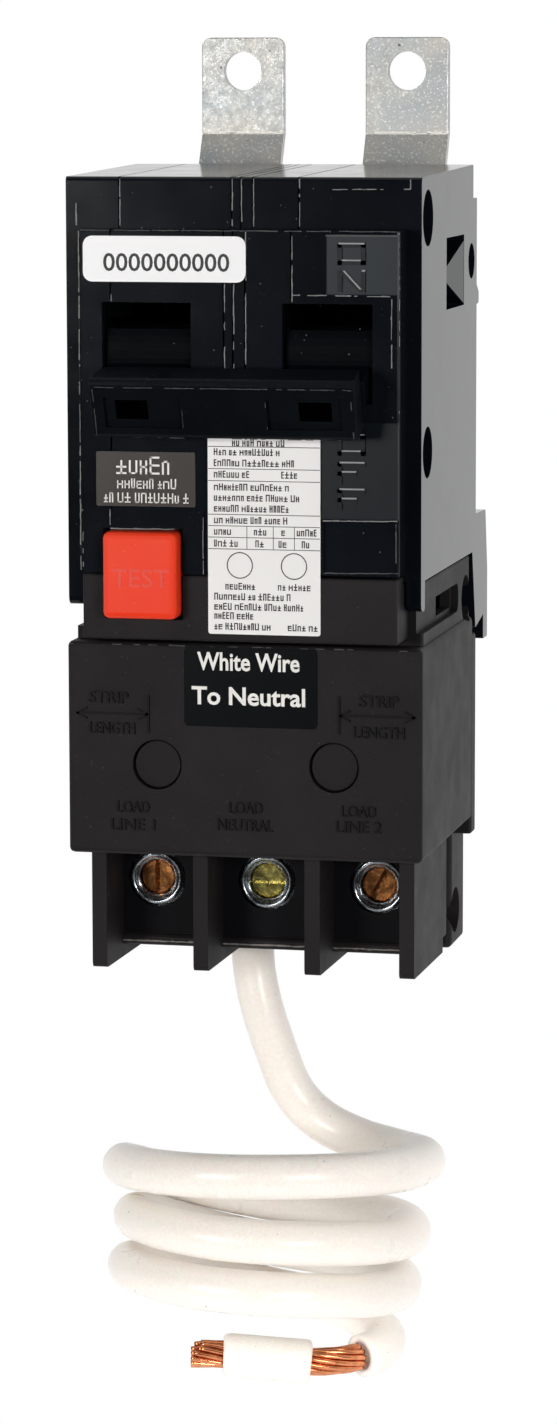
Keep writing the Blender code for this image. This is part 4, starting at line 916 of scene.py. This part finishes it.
def insulated_wire(path):
    """The white wire, with a flat cut end round the conductor and a short bore behind it."""
    bm = bmesh.new()
    rings = sweep(bm, path, [WIRE_R] * len(path), 28, closed=False)
    bm.faces.new(rings[0])
    end = [bm.verts.new(path[-1] + (v.co - path[-1]) * (CONDUCTOR_R + 0.05) / WIRE_R) for v in rings[-1]]
    bore = (path[-1] - path[-2]).normalized() * 2.0
    back = [bm.verts.new(v.co - bore) for v in end]
    for k in range(len(end)):
        bm.faces.new((rings[-1][k - 1], rings[-1][k], end[k], end[k - 1]))
        bm.faces.new((end[k - 1], end[k], back[k], back[k - 1]))
    bm.faces.new(back)
    bmesh.ops.recalc_face_normals(bm, faces=bm.faces)
    return add("pigtail_wire", bm, WHITE, smooth=True)


def bare_strands(route):
    """Copper strands, cut on a slant and a little unevenly at their far ends."""
    rng = random.Random(8)
    bm = bmesh.new()
    for line in strand_paths(route):
        short = max(0.0, (line[-1].z - route[-1].z) * 0.9 + rng.uniform(0.0, 0.5))
        line = line[:max(len(line) - 1 - int(short / STRAND_STEP), 10)]
        sweep(bm, line, [STRAND_R] * len(line), 10)
    bmesh.ops.recalc_face_normals(bm, faces=bm.faces)
    return add("pigtail_strands", bm, COPPER, smooth=True)


def insulation_offcut(low, high):
    """The offcut of insulation left on the conductor: a tube with slightly slanted, rounded ends."""
    length, sides = 12.75, 26
    bore = CONDUCTOR_R + 0.12
    profile = ((0.0, bore), (0.0, WIRE_R - 0.55), (0.35, WIRE_R - 0.06), (1.0, WIRE_R), (6.0, WIRE_R + 0.02),
               (11.6, WIRE_R), (12.3, WIRE_R - 0.08), (length, WIRE_R - 0.5), (length, bore), (6.0, bore))
    axis = (high - low).normalized()
    side = axis.orthogonal().normalized()
    up = axis.cross(side)
    scale = (high - low).length / length
    bm = bmesh.new()
    loops = []
    for along, radius in profile:
        # only the two ends slant, in opposite ways
        slant = 0.0
        if not 0.9 < along < 11.7:
            slant = 0.1225 if along > 6.5 else -0.0735
        ring = []
        for k in range(sides):
            a = 2 * math.pi * k / sides
            wobble = 1.0 + 0.012 * math.sin(2 * a + along)
            out = side * math.cos(a) + up * math.sin(a)
            ring.append(bm.verts.new(low + axis * (along * scale + out.z * slant) + out * radius * wobble))
        loops.append(ring)
    for first, second in zip(loops, loops[1:] + loops[:1]):
        for k in range(sides):
            bm.faces.new((first[k - 1], first[k], second[k], second[k - 1]))
    bmesh.ops.recalc_face_normals(bm, faces=bm.faces)
    return add("pigtail_offcut", bm, WHITE, smooth=True)


def pigtail():
    """The neutral wire, its bare strands and the offcut on them, in place of the CAD pigtail parts."""
    path = insulated_path()
    wire = insulated_wire(path)
    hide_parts("pigtail_lead", "pigtail_coil", "pigtail_tail")
    route = [beside_coil(*p) for p in CONDUCTOR_ROUTE]
    strands = bare_strands(route)
    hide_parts("pigtail_conductor")
    sleeve = insulation_offcut(route[2].lerp(route[3], 0.02), route[4].lerp(route[3], 0.02))
    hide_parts("pigtail_sleeve")


pigtail()
